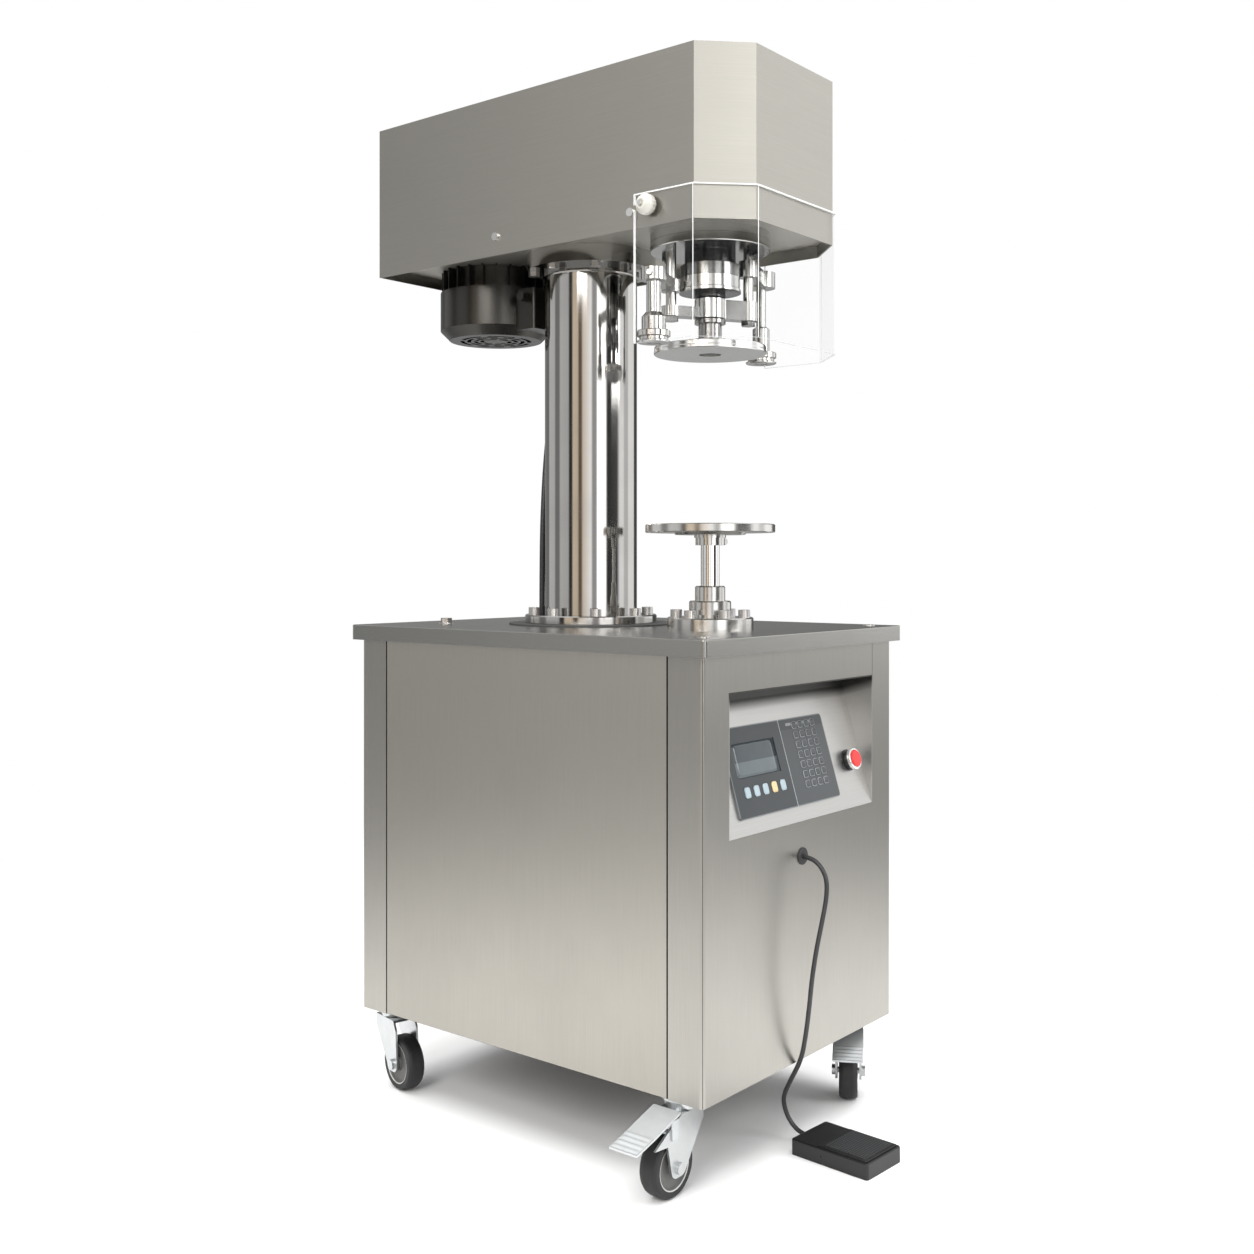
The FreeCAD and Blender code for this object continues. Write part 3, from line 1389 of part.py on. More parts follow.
def seaming_chuck():
    """Round chuck that enters the lid, with a sunk screw hole in its middle."""
    low = chuck_bottom
    waist = m.chuck_radius - m.chuck_lip / 4
    body = turned("seaming_chuck", [
        (m.chuck_screw_radius, low + m.chuck_bore_depth), (m.chuck_bore_radius, low + m.chuck_bore_depth),
        (m.chuck_bore_radius, low), (m.chuck_radius - 1, low), (m.chuck_radius, low + 1),
        (m.chuck_radius, low + m.chuck_lip * 2), (waist, low + m.chuck_lip * 2 + 1), (waist, chuck_top - 1),
        (m.chuck_radius - 1, chuck_top), (m.chuck_screw_radius, chuck_top)])
    node("seaming_chuck", body, 0, m.lift_y)


roller_bottom = chuck_bottom + m.roller_rise
roller_top = roller_bottom + m.roller_height


def seaming_arm(side, bottom, height, boss_radius, post_radius, nut_radius, nut_height, nut_taper):
    """Swinging arm: boss on the pivot rod, web, and the post that holds the roller's pin."""
    reach = length_of(m.roller_x - m.rod_x, m.rod_y - m.roller_y)
    lean = angle_of(m.rod_y - m.roller_y, m.roller_x - m.rod_x)
    z = (bottom, bottom + height)
    nut_bottom = roller_top + m.roller_gap
    nut_top = nut_bottom + nut_height
    foot_bottom = roller_bottom + m.roller_foot_gap
    name = side + "_arm"
    shapes = [
        cylinder(name + "_pivot", m.arm_pivot_radius, z),
        block(name + "_web", (ZERO, reach), (-m.arm_width / 2, m.arm_width / 2), (z[0] + 1, z[1] - 1)),
        cylinder(name + "_boss", boss_radius, z, reach),
        cylinder(name + "_post", post_radius, (nut_top - 1, bottom + 1), reach),
        cylinder(name + "_nut", nut_radius, (nut_bottom, nut_top - nut_taper), reach),
        cone(name + "_nut_taper", nut_radius, post_radius + 1, (nut_top - nut_taper, nut_top), reach),
        cylinder(name + "_pin", m.roller_pin_radius, (foot_bottom, nut_bottom + 1), reach),
        cylinder(name + "_foot", m.roller_foot_radius, (foot_bottom, foot_bottom + m.roller_foot), reach),
        lying(name + "_clamp_screw", m.arm_screw_radius, boss_radius + m.arm_screw_length, reach, 0,
              bottom + height / 2, "+x"),
    ]
    bore = cylinder(name + "_bore", m.rod_radius + m.arm_fit, (z[0] - 1, z[1] + 1))
    arm = cut(name, fuse(name + "_blank", shapes), [bore])
    if side == "left":
        return node(name, arm, -m.rod_x, m.lift_y + m.rod_y, 0, "z", as_size(180) + lean)
    return node(name, arm, m.rod_x, m.lift_y - m.rod_y, 0, "z", lean)


def seaming_arms():
    seaming_arm("left", left_arm_bottom, m.left_arm_height, m.left_arm_boss_radius, m.left_post_radius,
                m.left_nut_radius, m.left_nut_height, m.left_nut_taper)
    seaming_arm("right", right_arm_bottom, m.right_arm_height, m.right_arm_boss_radius,
                m.right_post_radius, m.right_nut_radius, m.right_nut_height, m.right_nut_taper)


def seaming_rollers():
    """Seaming rollers with a profiled groove that curls the lid's rim."""
    bore = m.roller_pin_radius + m.fit
    counterbore = m.roller_foot_radius + m.roller_gap
    ledge = roller_bottom + m.roller_foot_gap + m.roller_foot + m.roller_gap
    groove_low = roller_bottom + m.roller_groove_shift
    groove_high = groove_low + m.roller_groove_width
    inner = m.roller_radius - m.roller_groove
    for side, sign in (("left", -1), ("right", 1)):
        name = side + "_roller"
        body = turned(name, [
            (counterbore, roller_bottom), (m.roller_radius - 1, roller_bottom),
            (m.roller_radius, roller_bottom + 1), (m.roller_radius, groove_low),
            (inner, groove_low + 1.5), (inner, groove_high - 1.5), (m.roller_radius, groove_high),
            (m.roller_radius, roller_top - 1), (m.roller_radius - 1, roller_top), (bore, roller_top),
            (bore, ledge), (counterbore, ledge)])
        drill_circle(body, m.roller_hole_radius, m.roller_hole_circle, 2, name + "_holes", as_size(5),
                     roller_bottom - 1)
        node(name, body, m.roller_x * sign, m.lift_y - m.roller_y * sign)


# Drive in the head

def grooved_pulley(name, radius, bore, z):
    """Flat belt pulley with two rims."""
    rim = (m.pulley_height - m.belt_width) / 2 - 1
    floor = radius - m.pulley_groove
    return turned(name, [
        (bore, z), (radius, z), (radius, z + rim - 1), (floor, z + rim), (floor, z + m.pulley_height - rim),
        (radius, z + m.pulley_height - rim + 1), (radius, z + m.pulley_height), (bore, z + m.pulley_height)])


def pulleys():
    motor = grooved_pulley("motor_pulley", m.motor_pulley_radius, m.motor_shaft_radius + m.fit, pulley_z)
    node("motor_pulley", motor, 0, m.motor_y)
    spindle = grooved_pulley("spindle_pulley", m.spindle_pulley_radius, m.spindle_radius + m.fit, pulley_z)
    node("spindle_pulley", spindle, 0, m.lift_y)


def belt_loop(inset, z):
    """Wire round both pulleys at an inset from their rims."""
    spindle_radius = sheet.spindle_pulley_radius - inset
    motor_radius = sheet.motor_pulley_radius - inset
    spindle_y, motor_y = sheet.lift_y, sheet.motor_y
    lean = math.asin((spindle_radius - motor_radius) / (motor_y - spindle_y))
    across, along = math.cos(lean), math.sin(lean)
    ends = ((1, spindle_radius, spindle_y), (1, motor_radius, motor_y),
            (-1, motor_radius, motor_y), (-1, spindle_radius, spindle_y))
    corners = [FreeCAD.Vector(side * across * radius, y + along * radius, z) for side, radius, y in ends]
    far = FreeCAD.Vector(0, motor_y + motor_radius, z)
    near = FreeCAD.Vector(0, spindle_y - spindle_radius, z)
    return Part.Wire([
        Part.LineSegment(corners[0], corners[1]).toShape(), Part.Arc(corners[1], far, corners[2]).toShape(),
        Part.LineSegment(corners[2], corners[3]).toShape(), Part.Arc(corners[3], near, corners[0]).toShape()])


def drive_belt():
    """Flat belt from the motor pulley to the spindle pulley, just clear of their floors."""
    inner = sheet.pulley_groove - sheet.belt_gap
    z = pulley_z.value + (sheet.pulley_height - sheet.belt_width) / 2
    outside = Part.Face(belt_loop(inner - sheet.belt_thickness, z))
    ring_face = outside.cut(Part.Face(belt_loop(inner, z))).Faces[0]
    stand_feature("drive_belt", ring_face.extrude(FreeCAD.Vector(0, 0, sheet.belt_width)))


motor_bottom = head_plate_z - m.motor_drop
motor_top = head_plate_top + m.motor_rise
fan_cover_bottom = motor_bottom - m.fan_cover_height


def motor_body():
    """Motor hung through the base plate, finned below it and flanged on top of it."""
    bore = m.motor_shaft_radius + m.motor_bore_gap
    flange = head_plate_top + m.motor_flange
    shell = turned("motor_shell", [
        (bore, motor_bottom), (m.motor_radius, motor_bottom), (m.motor_radius, head_plate_top),
        (m.motor_flange_radius, head_plate_top), (m.motor_flange_radius, flange), (m.motor_radius - 6, flange),
        (m.motor_radius - 14, motor_top), (bore, motor_top)])
    fins = []
    for number, angle in enumerate(ring_angles(m.motor_fins.value)):
        fin = block("motor_fin_%d" % number, (m.motor_radius - 2, m.motor_fin_radius),
                    (-m.motor_fin_width / 2, m.motor_fin_width / 2),
                    (motor_bottom, head_plate_z - m.fan_cover_gap))
        turned_fin = group("motor_fin_turned_%d" % number, [fin])
        fins.append(move(turned_fin, 0, 0, 0, "z", angle))
    node("motor_body", fuse("motor_body", [shell] + fins), 0, m.motor_y)


def grille_tools():
    """Curved slots in rings, for the fan cover's bottom."""
    tools = []
    for number in range(int(m.grille_rings.value)):
        inner = m.grille_inner + (m.grille_slot + m.grille_bar) * number
        z = (fan_cover_bottom - 1, fan_cover_bottom + m.fan_cover_wall + 1)
        for sector, angle in enumerate(ring_angles(m.grille_sectors.value, 30.0 * (number % 2))):
            name = "grille_%d_%d" % (number, sector)
            outer = cylinder(name + "_outer", inner + m.grille_slot, z, sweep=m.grille_angle)
            core = cylinder(name + "_inner", inner, (z[0] - 1, z[1] + 1))
            tools.append(move(cut(name, outer, [core]), 0, 0, 0, "z", angle))
    return tools


def fan_cover():
    """Pressed fan cover with a bevelled edge and a grille of curved slots."""
    wall = m.fan_cover_wall
    outer, bevel = m.fan_cover_radius, m.fan_cover_bevel
    low, high = fan_cover_bottom, motor_bottom - m.fan_cover_gap
    cup = turned("fan_cover_cup", [
        (ZERO, low), (outer - bevel, low), (outer, low + bevel), (outer, high), (outer - wall, high),
        (outer - wall, low + bevel + wall / 2), (outer - bevel - wall / 2, low + wall), (ZERO, low + wall)])
    node("fan_cover", cut("fan_cover", cup, grille_tools()), 0, m.motor_y)


def motor_rotor():
    """Motor shaft with the cooling fan on its lower end."""
    fan_bottom = fan_cover_bottom + m.fan_cover_wall + m.fan_clearance
    fan_top = fan_bottom + m.fan_height
    top = pulley_z + m.pulley_height + 4
    shaft = cylinder("rotor_shaft", m.motor_shaft_radius, (fan_bottom, top))
    hub = cylinder("fan_hub", m.fan_hub_radius, (fan_bottom, fan_top))
    disc = cylinder("fan_disc", m.fan_radius, (fan_top - 3, fan_top))
    blades = []
    for number, angle in enumerate(ring_angles(m.fan_blades.value)):
        blade = block("fan_blade_%d" % number, (ZERO, m.fan_radius - 3),
                      (-m.fan_blade_width / 2, m.fan_blade_width / 2), (fan_bottom, fan_top - 1))
        blades.append(move(group("fan_blade_turned_%d" % number, [blade]), 0, 0, 0, "z", angle))
    node("motor_rotor", fuse("motor_rotor", [shaft, hub, disc] + blades), 0, m.motor_y)


def terminal_box():
    """Motor terminal box toward the column, with a cable gland on its side."""
    half = m.terminal_width / 2
    far = m.motor_y - m.fan_cover_radius - m.terminal_depth
    near = m.motor_y - m.fan_cover_radius + 12
    low = fan_cover_bottom + m.terminal_rise
    case = rounded_block("terminal_case", (-half, half), (far, near), (low, low + m.terminal_height),
                         m.switch_corner)
    hollow = cylinder("terminal_hollow", m.fan_cover_radius + m.fan_cover_gap,
                      (low - 1, low + m.terminal_height + 1), 0, m.motor_y)
    gland_z = low + m.terminal_height - m.gland_radius * 2
    gland_y = far + m.terminal_depth / 2
    gland = lying("terminal_gland", m.gland_radius, m.gland_length, -half + 1, gland_y, gland_z, "-x")
    node("terminal_box", fuse("terminal_box", [cut("terminal_shell", case, [hollow]), gland]))


# Foot switch and its cord

def foot_switch():
    """Foot switch: low case with a hinged treadle in its front part."""
    wide, long = m.switch_width / 2, m.switch_length / 2
    case = rounded_block("switch_case", (-wide, wide), (-long, long), (ZERO, m.switch_height),
                         m.switch_corner, m.switch_edge)
    room = m.treadle_width / 2 + m.treadle_gap
    front = -long + m.treadle_front_rim
    rear = front + m.treadle_length + m.treadle_gap * 2
    treadle_top = m.switch_height + m.treadle_proud
    treadle_bottom = treadle_top - m.treadle_thickness
    hollow = block("treadle_room", (-room, room), (front, rear),
                   (treadle_bottom - m.treadle_room, m.switch_height + 1))
    base_cord_hole = lying("switch_cord_hole", m.cord_diameter / 2 + m.fit, as_size(12), 0, long + 1,
                           m.treadle_pin_z, "-y")
    pin_y = rear - m.treadle_gap - m.treadle_pin_back
    pin = lying("treadle_pin_hole", m.treadle_pin_radius + m.fit, m.switch_width + 2, -wide - 1, pin_y,
                m.treadle_pin_z, "+x")
    base = cut("foot_switch_base", case, [hollow, base_cord_hole, pin])
    node("foot_switch_base", base, m.switch_x, switch_y, 0, "z", m.switch_turn)

    half = m.treadle_width / 2
    ends = (front + m.treadle_gap, rear - m.treadle_gap)
    plate = rounded_block("treadle_plate", (-half, half), ends, (treadle_bottom, treadle_top),
                          m.switch_edge, m.switch_edge / 2)
    lug = block("treadle_lug", (-half, half), (pin_y - 4, pin_y + 4), (m.treadle_pin_z - 3, treadle_bottom + 1))
    shaft = lying("treadle_shaft", m.treadle_pin_radius, m.switch_width - 1, -wide + 0.5, pin_y,
                  m.treadle_pin_z, "+x")
    ribs = []
    count = int(m.treadle_ribs.value)
    for number in range(count):
        y = ends[0] + 6 + (m.treadle_length - 22) * number / (count - 1)
        ribs.append(block("treadle_rib_%d" % number, (-half + 6, half - 6), (y, y + 2),
                          (treadle_top - 1, treadle_top + m.treadle_rib / 2)))
    treadle = fuse("foot_treadle", [plate, lug, shaft] + ribs)
    node("foot_treadle", treadle, m.switch_x, switch_y, 0, "z", m.switch_turn)


# The foot switch's cord from the grommet to the back of the case: across, behind the cabinet's
# front face, and the share of the way up from the case to the cord hole
CORD_EXIT_Z = 11.0
CORD_POINTS = [
    (-8.6, 6.0, 1.00000),
    (-8.6, -12.0, 1.00000),
    (-8.8, -27.6, 0.97505),
    (-9.4, -36.6, 0.93180),
    (-12.0, -38.0, 0.87330),
    (-19.0, -36.0, 0.79568),
    (-28.0, -33.0, 0.70141),
    (-34.5, -30.0, 0.59606),
    (-34.5, -26.0, 0.49071),
    (-33.0, -20.0, 0.39091),
    (-27.0, -10.0, 0.29942),
    (-12.0, 17.6, 0.18825),
    (-3.0, 32.4, 0.12226),
    (1.5, 32.9, 0.07097),
    (3.0, 24.0, 0.02606),
    (2.4, 8.0, 0.00000),
    (1.1, -10.3, 0.00000),
]


def pedal_cord():
    front, fall = -half_depth.value, cord_hole_z.value - CORD_EXIT_Z
    route = [FreeCAD.Vector(x, front + y, CORD_EXIT_Z + share * fall) for x, y, share in CORD_POINTS]
    stand_feature("pedal_cord", tube_along(route, sheet.cord_diameter / 2))


# Castors

def castor_places():
    """Swivel axis and heading of each castor: front left, front right, rear left, rear right."""
    return [(-front_castor_x, -front_castor_y, m.front_left_heading),
            (front_castor_x, -front_castor_y, m.front_right_heading),
            (-rear_castor_x, rear_castor_y, m.rear_left_heading),
            (rear_castor_x, rear_castor_y, m.rear_right_heading)]


CASTOR_NAMES = ("front_left", "front_right", "rear_left", "rear_right")
fork_inner = m.wheel_width / 2 + m.fork_gap
fork_outer = fork_inner + m.fork_sheet
crown_top = m.fork_crown_z + m.fork_sheet


def castor_stems():
    """Fixed heads of the castors: plate under the floor, stem through it and ball raceway."""
    pieces = []
    for name, (x, y, heading) in zip(CASTOR_NAMES, castor_places()):
        plate_z = (m.castor_height - m.castor_plate, m.castor_height)
        plate = cylinder(name + "_plate", m.castor_plate_radius, plate_z, x, y)
        race = cone(name + "_race", m.raceway_radius - 2, m.raceway_radius + 1,
                    (crown_top + m.swivel_gap, plate_z[0]), x, y)
        stem = cylinder(name + "_stem", m.stem_radius, (m.castor_height, m.castor_height + m.stem_length), x, y)
        pieces.append(fuse(name + "_head", [plate, race, stem]))
    node("castor_stems", group("castor_stems", pieces))


def castor_fork(name, braked):
    """Pressed fork: crown and two cheeks that lean back to the axle, nosed where it is braked."""
    body = new_body(name)
    axle = (m.castor_trail, m.wheel_radius)
    end = m.fork_end_radius
    half = m.fork_half
    nose = [(half, crown_top), (half + 23, crown_top - 12), (half + 50, crown_top - 28),
            (half + 26, crown_top - 30)]
    plain = [(half + 6, crown_top), (half + 13, m.fork_crown_z - 10)]
    points = [(-half, crown_top), (-half, m.fork_crown_z - 12), (axle[0] - end, axle[1] - end),
              (axle[0] + end, axle[1] - end)]
    side = outline(new_sketch(body, "XZ_Plane", name + "_side"), points + (nose if braked else plain)[::-1])
    web = pad(body, side, fork_outer * 2, midplane=True)
    foot = axle[1].value - end.value

    def at_foot(edge):
        return all(abs(point.Point.z - foot) < 0.001 and abs(edge.Length - 2 * fork_outer.value) < 0.001
                   for point in edge.Vertexes)

    round_edges(body, web, at_foot, end - 1)
    channel = new_sketch(body, "YZ_Plane", name + "_channel")
    rectangle(channel, (-fork_inner, fork_inner), (-m.fork_end_radius, m.fork_crown_z))
    pocket(body, channel, midplane=True)
    return body


def castor_wheel(name):
    """Rubber-tyred wheel about its own axis: crowned tread, dished hub and bore."""
    half = m.wheel_width / 2
    crown = m.wheel_crown
    face = half - m.wheel_hub_dish
    bore = m.axle_radius + m.arm_fit
    return turned(name, [
        (bore, -half), (m.wheel_boss_radius, -half), (m.wheel_boss_radius, -face),
        (m.wheel_hub_radius - 2, -face), (m.wheel_hub_radius, -half + 0.5), (m.wheel_hub_radius + 2, -half),
        (m.wheel_radius - crown, -half), (m.wheel_radius - crown / 3, -half + crown), (m.wheel_radius, -half + crown * 2.4),
        (m.wheel_radius, half - crown * 2.4), (m.wheel_radius - crown / 3, half - crown), (m.wheel_radius - crown, half),
        (m.wheel_hub_radius + 2, half), (m.wheel_hub_radius, half - 0.5), (m.wheel_hub_radius - 2, face),
        (m.wheel_boss_radius, face), (m.wheel_boss_radius, half), (bore, half)])


def brake_pedal(name):
    """Stamped total-brake pedal: stepped tread that reaches out over the wheel, and its pin."""
    body = new_body(name)
    thick = m.pedal_sheet
    pin_x, pin_z = m.pedal_pin_x, m.pedal_pin_z
    reach = m.pedal_reach
    upper = [(pin_x - 10.6, pin_z + 24), (pin_x + 13.4, pin_z + 17), (pin_x + 38.4, pin_z + 9), (reach, pin_z)]
    lower = [(x, z - thick) for x, z in upper]
    section = outline(new_sketch(body, "XZ_Plane", name + "_section"), upper + lower[::-1])
    pad(body, section, m.pedal_width, midplane=True)
    ear = m.pedal_pin_radius + 3
    pieces = [body]
    for side in (-1, 1):
        y = (fork_outer + 0.4, fork_outer + 0.4 + thick)
        y = y if side > 0 else (-y[1], -y[0])
        pieces.append(block(name + "_ear_%d" % side, (pin_x - ear, pin_x + ear), y, (pin_z - ear, pin_z + 18)))
    pieces.append(lying(name + "_pin", m.pedal_pin_radius, m.pedal_width, pin_x, m.pedal_width / 2, pin_z, "-y"))
    return fuse(name, pieces)


def castors():
    for name, (x, y, heading) in zip(CASTOR_NAMES, castor_places()):
        braked = name.startswith("front")
        fork = castor_fork(name + "_fork_web", braked)
        holes = [lying(name + "_axle_hole", m.axle_radius + m.fit, fork_outer * 2 + 2, m.castor_trail,
                       -fork_outer - 1, m.wheel_radius, "+y")]
        if braked:
            holes.append(lying(name + "_pin_hole", m.pedal_pin_radius + m.arm_fit, fork_outer * 2 + 2,
                               m.pedal_pin_x, -fork_outer - 1, m.pedal_pin_z, "+y"))
        shell = cut(name + "_fork_shell", fork, holes)
        head = m.axle_head
        axle = fuse(name + "_axle", [
            lying(name + "_axle_rod", m.axle_radius, (fork_outer + head) * 2, m.castor_trail,
                  -fork_outer - head, m.wheel_radius, "+y"),
            lying(name + "_axle_bolt", m.axle_head_radius, head, m.castor_trail, -fork_outer - head,
                  m.wheel_radius, "+y"),
            lying(name + "_axle_nut", m.axle_head_radius, head, m.castor_trail, fork_outer,
                  m.wheel_radius, "+y")])
        node(name + "_fork", group(name + "_fork", [shell, axle]), x, y, 0, "z", heading)
        wheel = castor_wheel(name + "_wheel_body")
        lying_wheel = move(group(name + "_wheel_lying", [wheel]), m.castor_trail, 0, m.wheel_radius, "x", 90)
        node(name + "_wheel", group(name + "_wheel", [lying_wheel]), x, y, 0, "z", heading)
        if braked:
            node(name + "_brake", brake_pedal(name + "_brake_pedal"), x, y, 0, "z", heading)


cabinet_frame()
panels()
table_top()
control_recess()
control_plate()
stop_button()
cord_grommet()
control_box()
lift_housing()
deck_screws()
lift_shaft()
lift_cylinder()
can_plate()
clamp_collar()
column_gasket()
column()
column_cap()
column_cable()
head_cover()
head_base_plate()
head_screws()
head_guard()
guard_knobs()
bearing_housing()
spindle_bearings()
arm_flange()
nose_housing()
pivot_rods()
bridge_bars()
spindle_shaft()
seaming_chuck()
seaming_arms()
seaming_rollers()
pulleys()
drive_belt()
motor_body()
fan_cover()
motor_rotor()
terminal_box()
foot_switch()
pedal_cord()
castor_stems()
castors()

doc.recompute()
failed = [item.Label for item in doc.Objects if {"Invalid", "Error"} & set(item.State)]
if failed:
    raise ValueError("not recomputed: %s" % failed)
for label, item in NODES.items():
    if item.Shape.isNull() or not item.Shape.isValid() or not item.Shape.Solids:
        raise ValueError("no valid solid in %s" % label)

os.makedirs("parts", exist_ok=True)
for label, item in NODES.items():
    item.Shape.exportStep("parts/%s.step" % label)
print(len(NODES), "nodes")
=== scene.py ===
import json
import math

import bpy
import numpy as np
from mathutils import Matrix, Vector


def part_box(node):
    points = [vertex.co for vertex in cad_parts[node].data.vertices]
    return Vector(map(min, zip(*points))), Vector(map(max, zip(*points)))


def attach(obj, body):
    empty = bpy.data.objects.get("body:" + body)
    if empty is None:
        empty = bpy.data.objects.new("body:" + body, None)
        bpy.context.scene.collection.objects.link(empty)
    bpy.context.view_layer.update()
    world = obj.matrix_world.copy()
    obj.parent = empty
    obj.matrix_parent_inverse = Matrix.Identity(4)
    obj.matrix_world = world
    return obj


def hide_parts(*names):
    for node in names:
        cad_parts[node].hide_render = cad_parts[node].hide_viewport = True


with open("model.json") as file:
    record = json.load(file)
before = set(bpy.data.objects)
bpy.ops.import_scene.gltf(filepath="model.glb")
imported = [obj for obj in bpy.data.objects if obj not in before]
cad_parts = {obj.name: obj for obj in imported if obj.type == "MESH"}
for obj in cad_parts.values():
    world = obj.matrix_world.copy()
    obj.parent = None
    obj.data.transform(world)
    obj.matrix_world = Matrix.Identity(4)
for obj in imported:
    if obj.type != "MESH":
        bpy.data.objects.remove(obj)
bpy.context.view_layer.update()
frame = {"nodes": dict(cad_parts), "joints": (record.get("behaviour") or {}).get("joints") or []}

bl_info = {
    "name": "Can seamer dressing",
    "version": (1, 0, 0),
    "blender": (4, 5, 0),
    "location": "3D View > Sidebar > Can seamer",
    "description": "Materials, cord and fine pieces of a can seamer, over its packed solids",
    "category": "Object",
}

# Where the cabinet stands over the origin, and upright axes that several pieces share, in metres
UPRIGHT = np.array([0.0, 0.0, 1.0])
STAND = np.array([0.036, 0.0332, 0.0])
HEAD_AXIS = (0.036, -0.1158)
COLUMN_AXIS = (0.036, 0.0957)
MOTOR_AXIS = (0.036, 0.2872)
ROLLER_LINES = (("left", -0.088), ("right", 0.160))

# Cabinet: the carcass's inner faces from its middle, which take painted shade, the ends of the side
# panels, the width of the dark line of painted shade along each, and two painted shadows as the
# darkness at both ends and the places of these: the side panels' shade toward their foot by height,
# and the recess's upper edge by the way up the control panel
CARCASS_INSIDE = (0.2235, 0.2985)
PANEL_ENDS = (-0.2146, 0.2810)
PANEL_EDGE = 0.0012
PANEL_FOOT_SHADE = (0.26, 0.0, 0.12, 0.62)
RECESS_SHADOW = (0.0, 0.9, 0.150, 0.163)

# Control panel: its lean, the place of its foot, the keypad's middle across and up from there, and
# how far out of the panel the stop button's bright ring begins
SLOPE_LEAN = math.atan2(47.6, 158.5)
SLOPE_FOOT = STAND + np.array([0.0, -0.3, 0.4163])
KEYPAD_X, KEYPAD_UP = -0.0255, 0.0755
BUTTON_RING = 0.0092

# Keypad film, from its middle: half its size inside the rim, the dividing line and half its width,
# the top of the paler field beside it, and the bar over the small keys with half its size
FILM_HALF = (0.1162, 0.0552)
FILM_LINE, FILM_LINE_HALF = 0.012, 0.0006
FIELD_TOP = 0.042
BAR_PLACE, BAR_HALF = (0.058, 0.0485), (0.030, 0.0018)

# Key caps: rings and points round each, the innermost ring's share, and the drop of the skirt
KEY_GRID = (6, 32, 0.02, 0.0006)

# Display and keys, from the keypad's middle: place of the first, steps and size. A form is a dome's
# rise and its base above the slope, and the warm key is counted from zero
PANE_PLACE, PANE_SIZE, PANE_FORM = (-0.055, 0.014), (0.095, 0.043), (0.0002, 0.0021)
PANE_BAND, PANE_POWER = 0.012, 0.16
SOFT_PLACE, SOFT_STEP, SOFT_SIZE = (-0.0905, -0.0255), 0.020, (0.0118, 0.0138)
SOFT_FORM, SOFT_KEYS, WARM_KEY = (0.0009, 0.0036), 5, 3
PAD_COLUMNS, PAD_PLACE, PAD_STEP = 4, (0.0465, -0.0315), (0.015, 0.013)
PAD_RIM, PAD_RIM_FORM = (0.0112, 0.0094), (0.0005, 0.0036)
PAD_FACE, PAD_FACE_FORM = (0.0098, 0.0080), (0.0007, 0.0039)

# Guard: heights of its edges, its rear end, its folds from the head's middle, the widths of the painted
# highlights along edges, folds and foot, their alpha with the foot's share of it, painted sheen and
# smears
GUARD_TOP, GUARD_BOTTOM, GUARD_REAR = 1.215, 1.0255, -0.1048
GUARD_FOLDS = ((0.1515, -0.1983), (0.0935, -0.2563))
GUARD_RIM, GUARD_FOLD_LINE, GUARD_FOOT_LINE = 0.0012, 0.00072, 0.0006
GUARD_LINE, GUARD_FOOT_SHARE, GUARD_SHEEN, GUARD_SMEAR = 0.75, 0.5, 1.2, 0.015
ACRYLIC_IOR = 1.49

# One tool ring as an angle
RING_TURN = 6.2832

# Thumb knobs: where their line crosses the head, the face that they close on (half the head, gap,
# sheet and clearance), their outline as distance from that face and radius, the points round them,
# and the flutes, which begin at one radius and are full after a run
KNOB_PLACE = STAND + np.array([0.0, -0.162, 1.1975])
KNOB_FACE = 0.147 + 0.0015 + 0.003 + 0.0003
KNOB_OUTLINE = np.array([
    (0.0, 0.0032), (0.0, 0.0122), (0.0008, 0.0134), (0.0085, 0.0134), (0.0098, 0.0122),
    (0.0120, 0.0098), (0.0152, 0.0080), (0.0160, 0.0072), (0.0160, 0.0032)])
KNOB_AROUND = 96
FLUTE_START, FLUTE_RUN, FLUTE_DEPTH = 0.0095, 0.004, 0.00055

# Seaming head: heights of the bands of painted shade at the nose's foot and under its top, where the
# third ends below the top of the arms' flange, and how far the second laps over the nose's top
NOSE_FOOT, NOSE_NECK, FLANGE_RIM, NOSE_LAP = 0.0078, 0.0165, 0.0113, 0.0001

# Castors: radii of the wheel's hub and of the pale ring round it, and the places and headings of
# the front swivels. Pedals: the ribbed stretch and half its width, two points of the upper face as
# reach and height, and the ribs' number, their gap from that face and their height
WHEEL_HUB, WHEEL_RING = 0.0268, 0.0283
PEDALS = (("left", (-0.163, -0.2148, 0.0), 180.0), ("right", (0.235, -0.2148, 0.0), 209.0))
PEDAL_ROOT, PEDAL_TIP, PEDAL_HALF = 0.0765, 0.1085, 0.0195
PEDAL_FACE = ((0.075, 0.088), (0.109, 0.079))
PEDAL_GRID = (61, 25)
RIB_COUNT, RIB_GAP, RIB_HEIGHT = 4.0, 0.0004, 0.0012

# Foot switch: turn and middle, the tread's size, middle along the switch and top, how far its rim
# sinks, how far field and domes rise from there, points along a dome's side, how far out the field
# reaches where 0.5 is the rim, and how far above the top the painted highlight on the domes' tips
# begins
TREADLE_TURN = math.radians(-4.0)
TREADLE_CENTRE = np.array([0.0337, -0.3263, 0.0])
TREAD_WIDTH, TREAD_LENGTH, TREAD_MIDDLE, TREAD_TOP = 0.062, 0.060, -0.0185, 0.0220
TREAD_SINK, TREAD_RISE, TREAD_DOME = 0.0012, 0.0013, 0.0009
TREAD_SAMPLES = 6
TREAD_REACH, TREAD_HIGHLIGHT = 0.499, 0.0006

# The camera, at the photograph's place and the height of its horizon
CAMERA_PLACE = (-1.4981, -1.2141, 0.7495)
CAMERA_HEADING = -50.99
CAMERA_LENS = 40.02
CAMERA_SENSOR = 36.0
CAMERA_SHIFT = -0.0531
CAMERA_REACH = (0.05, 50.0)

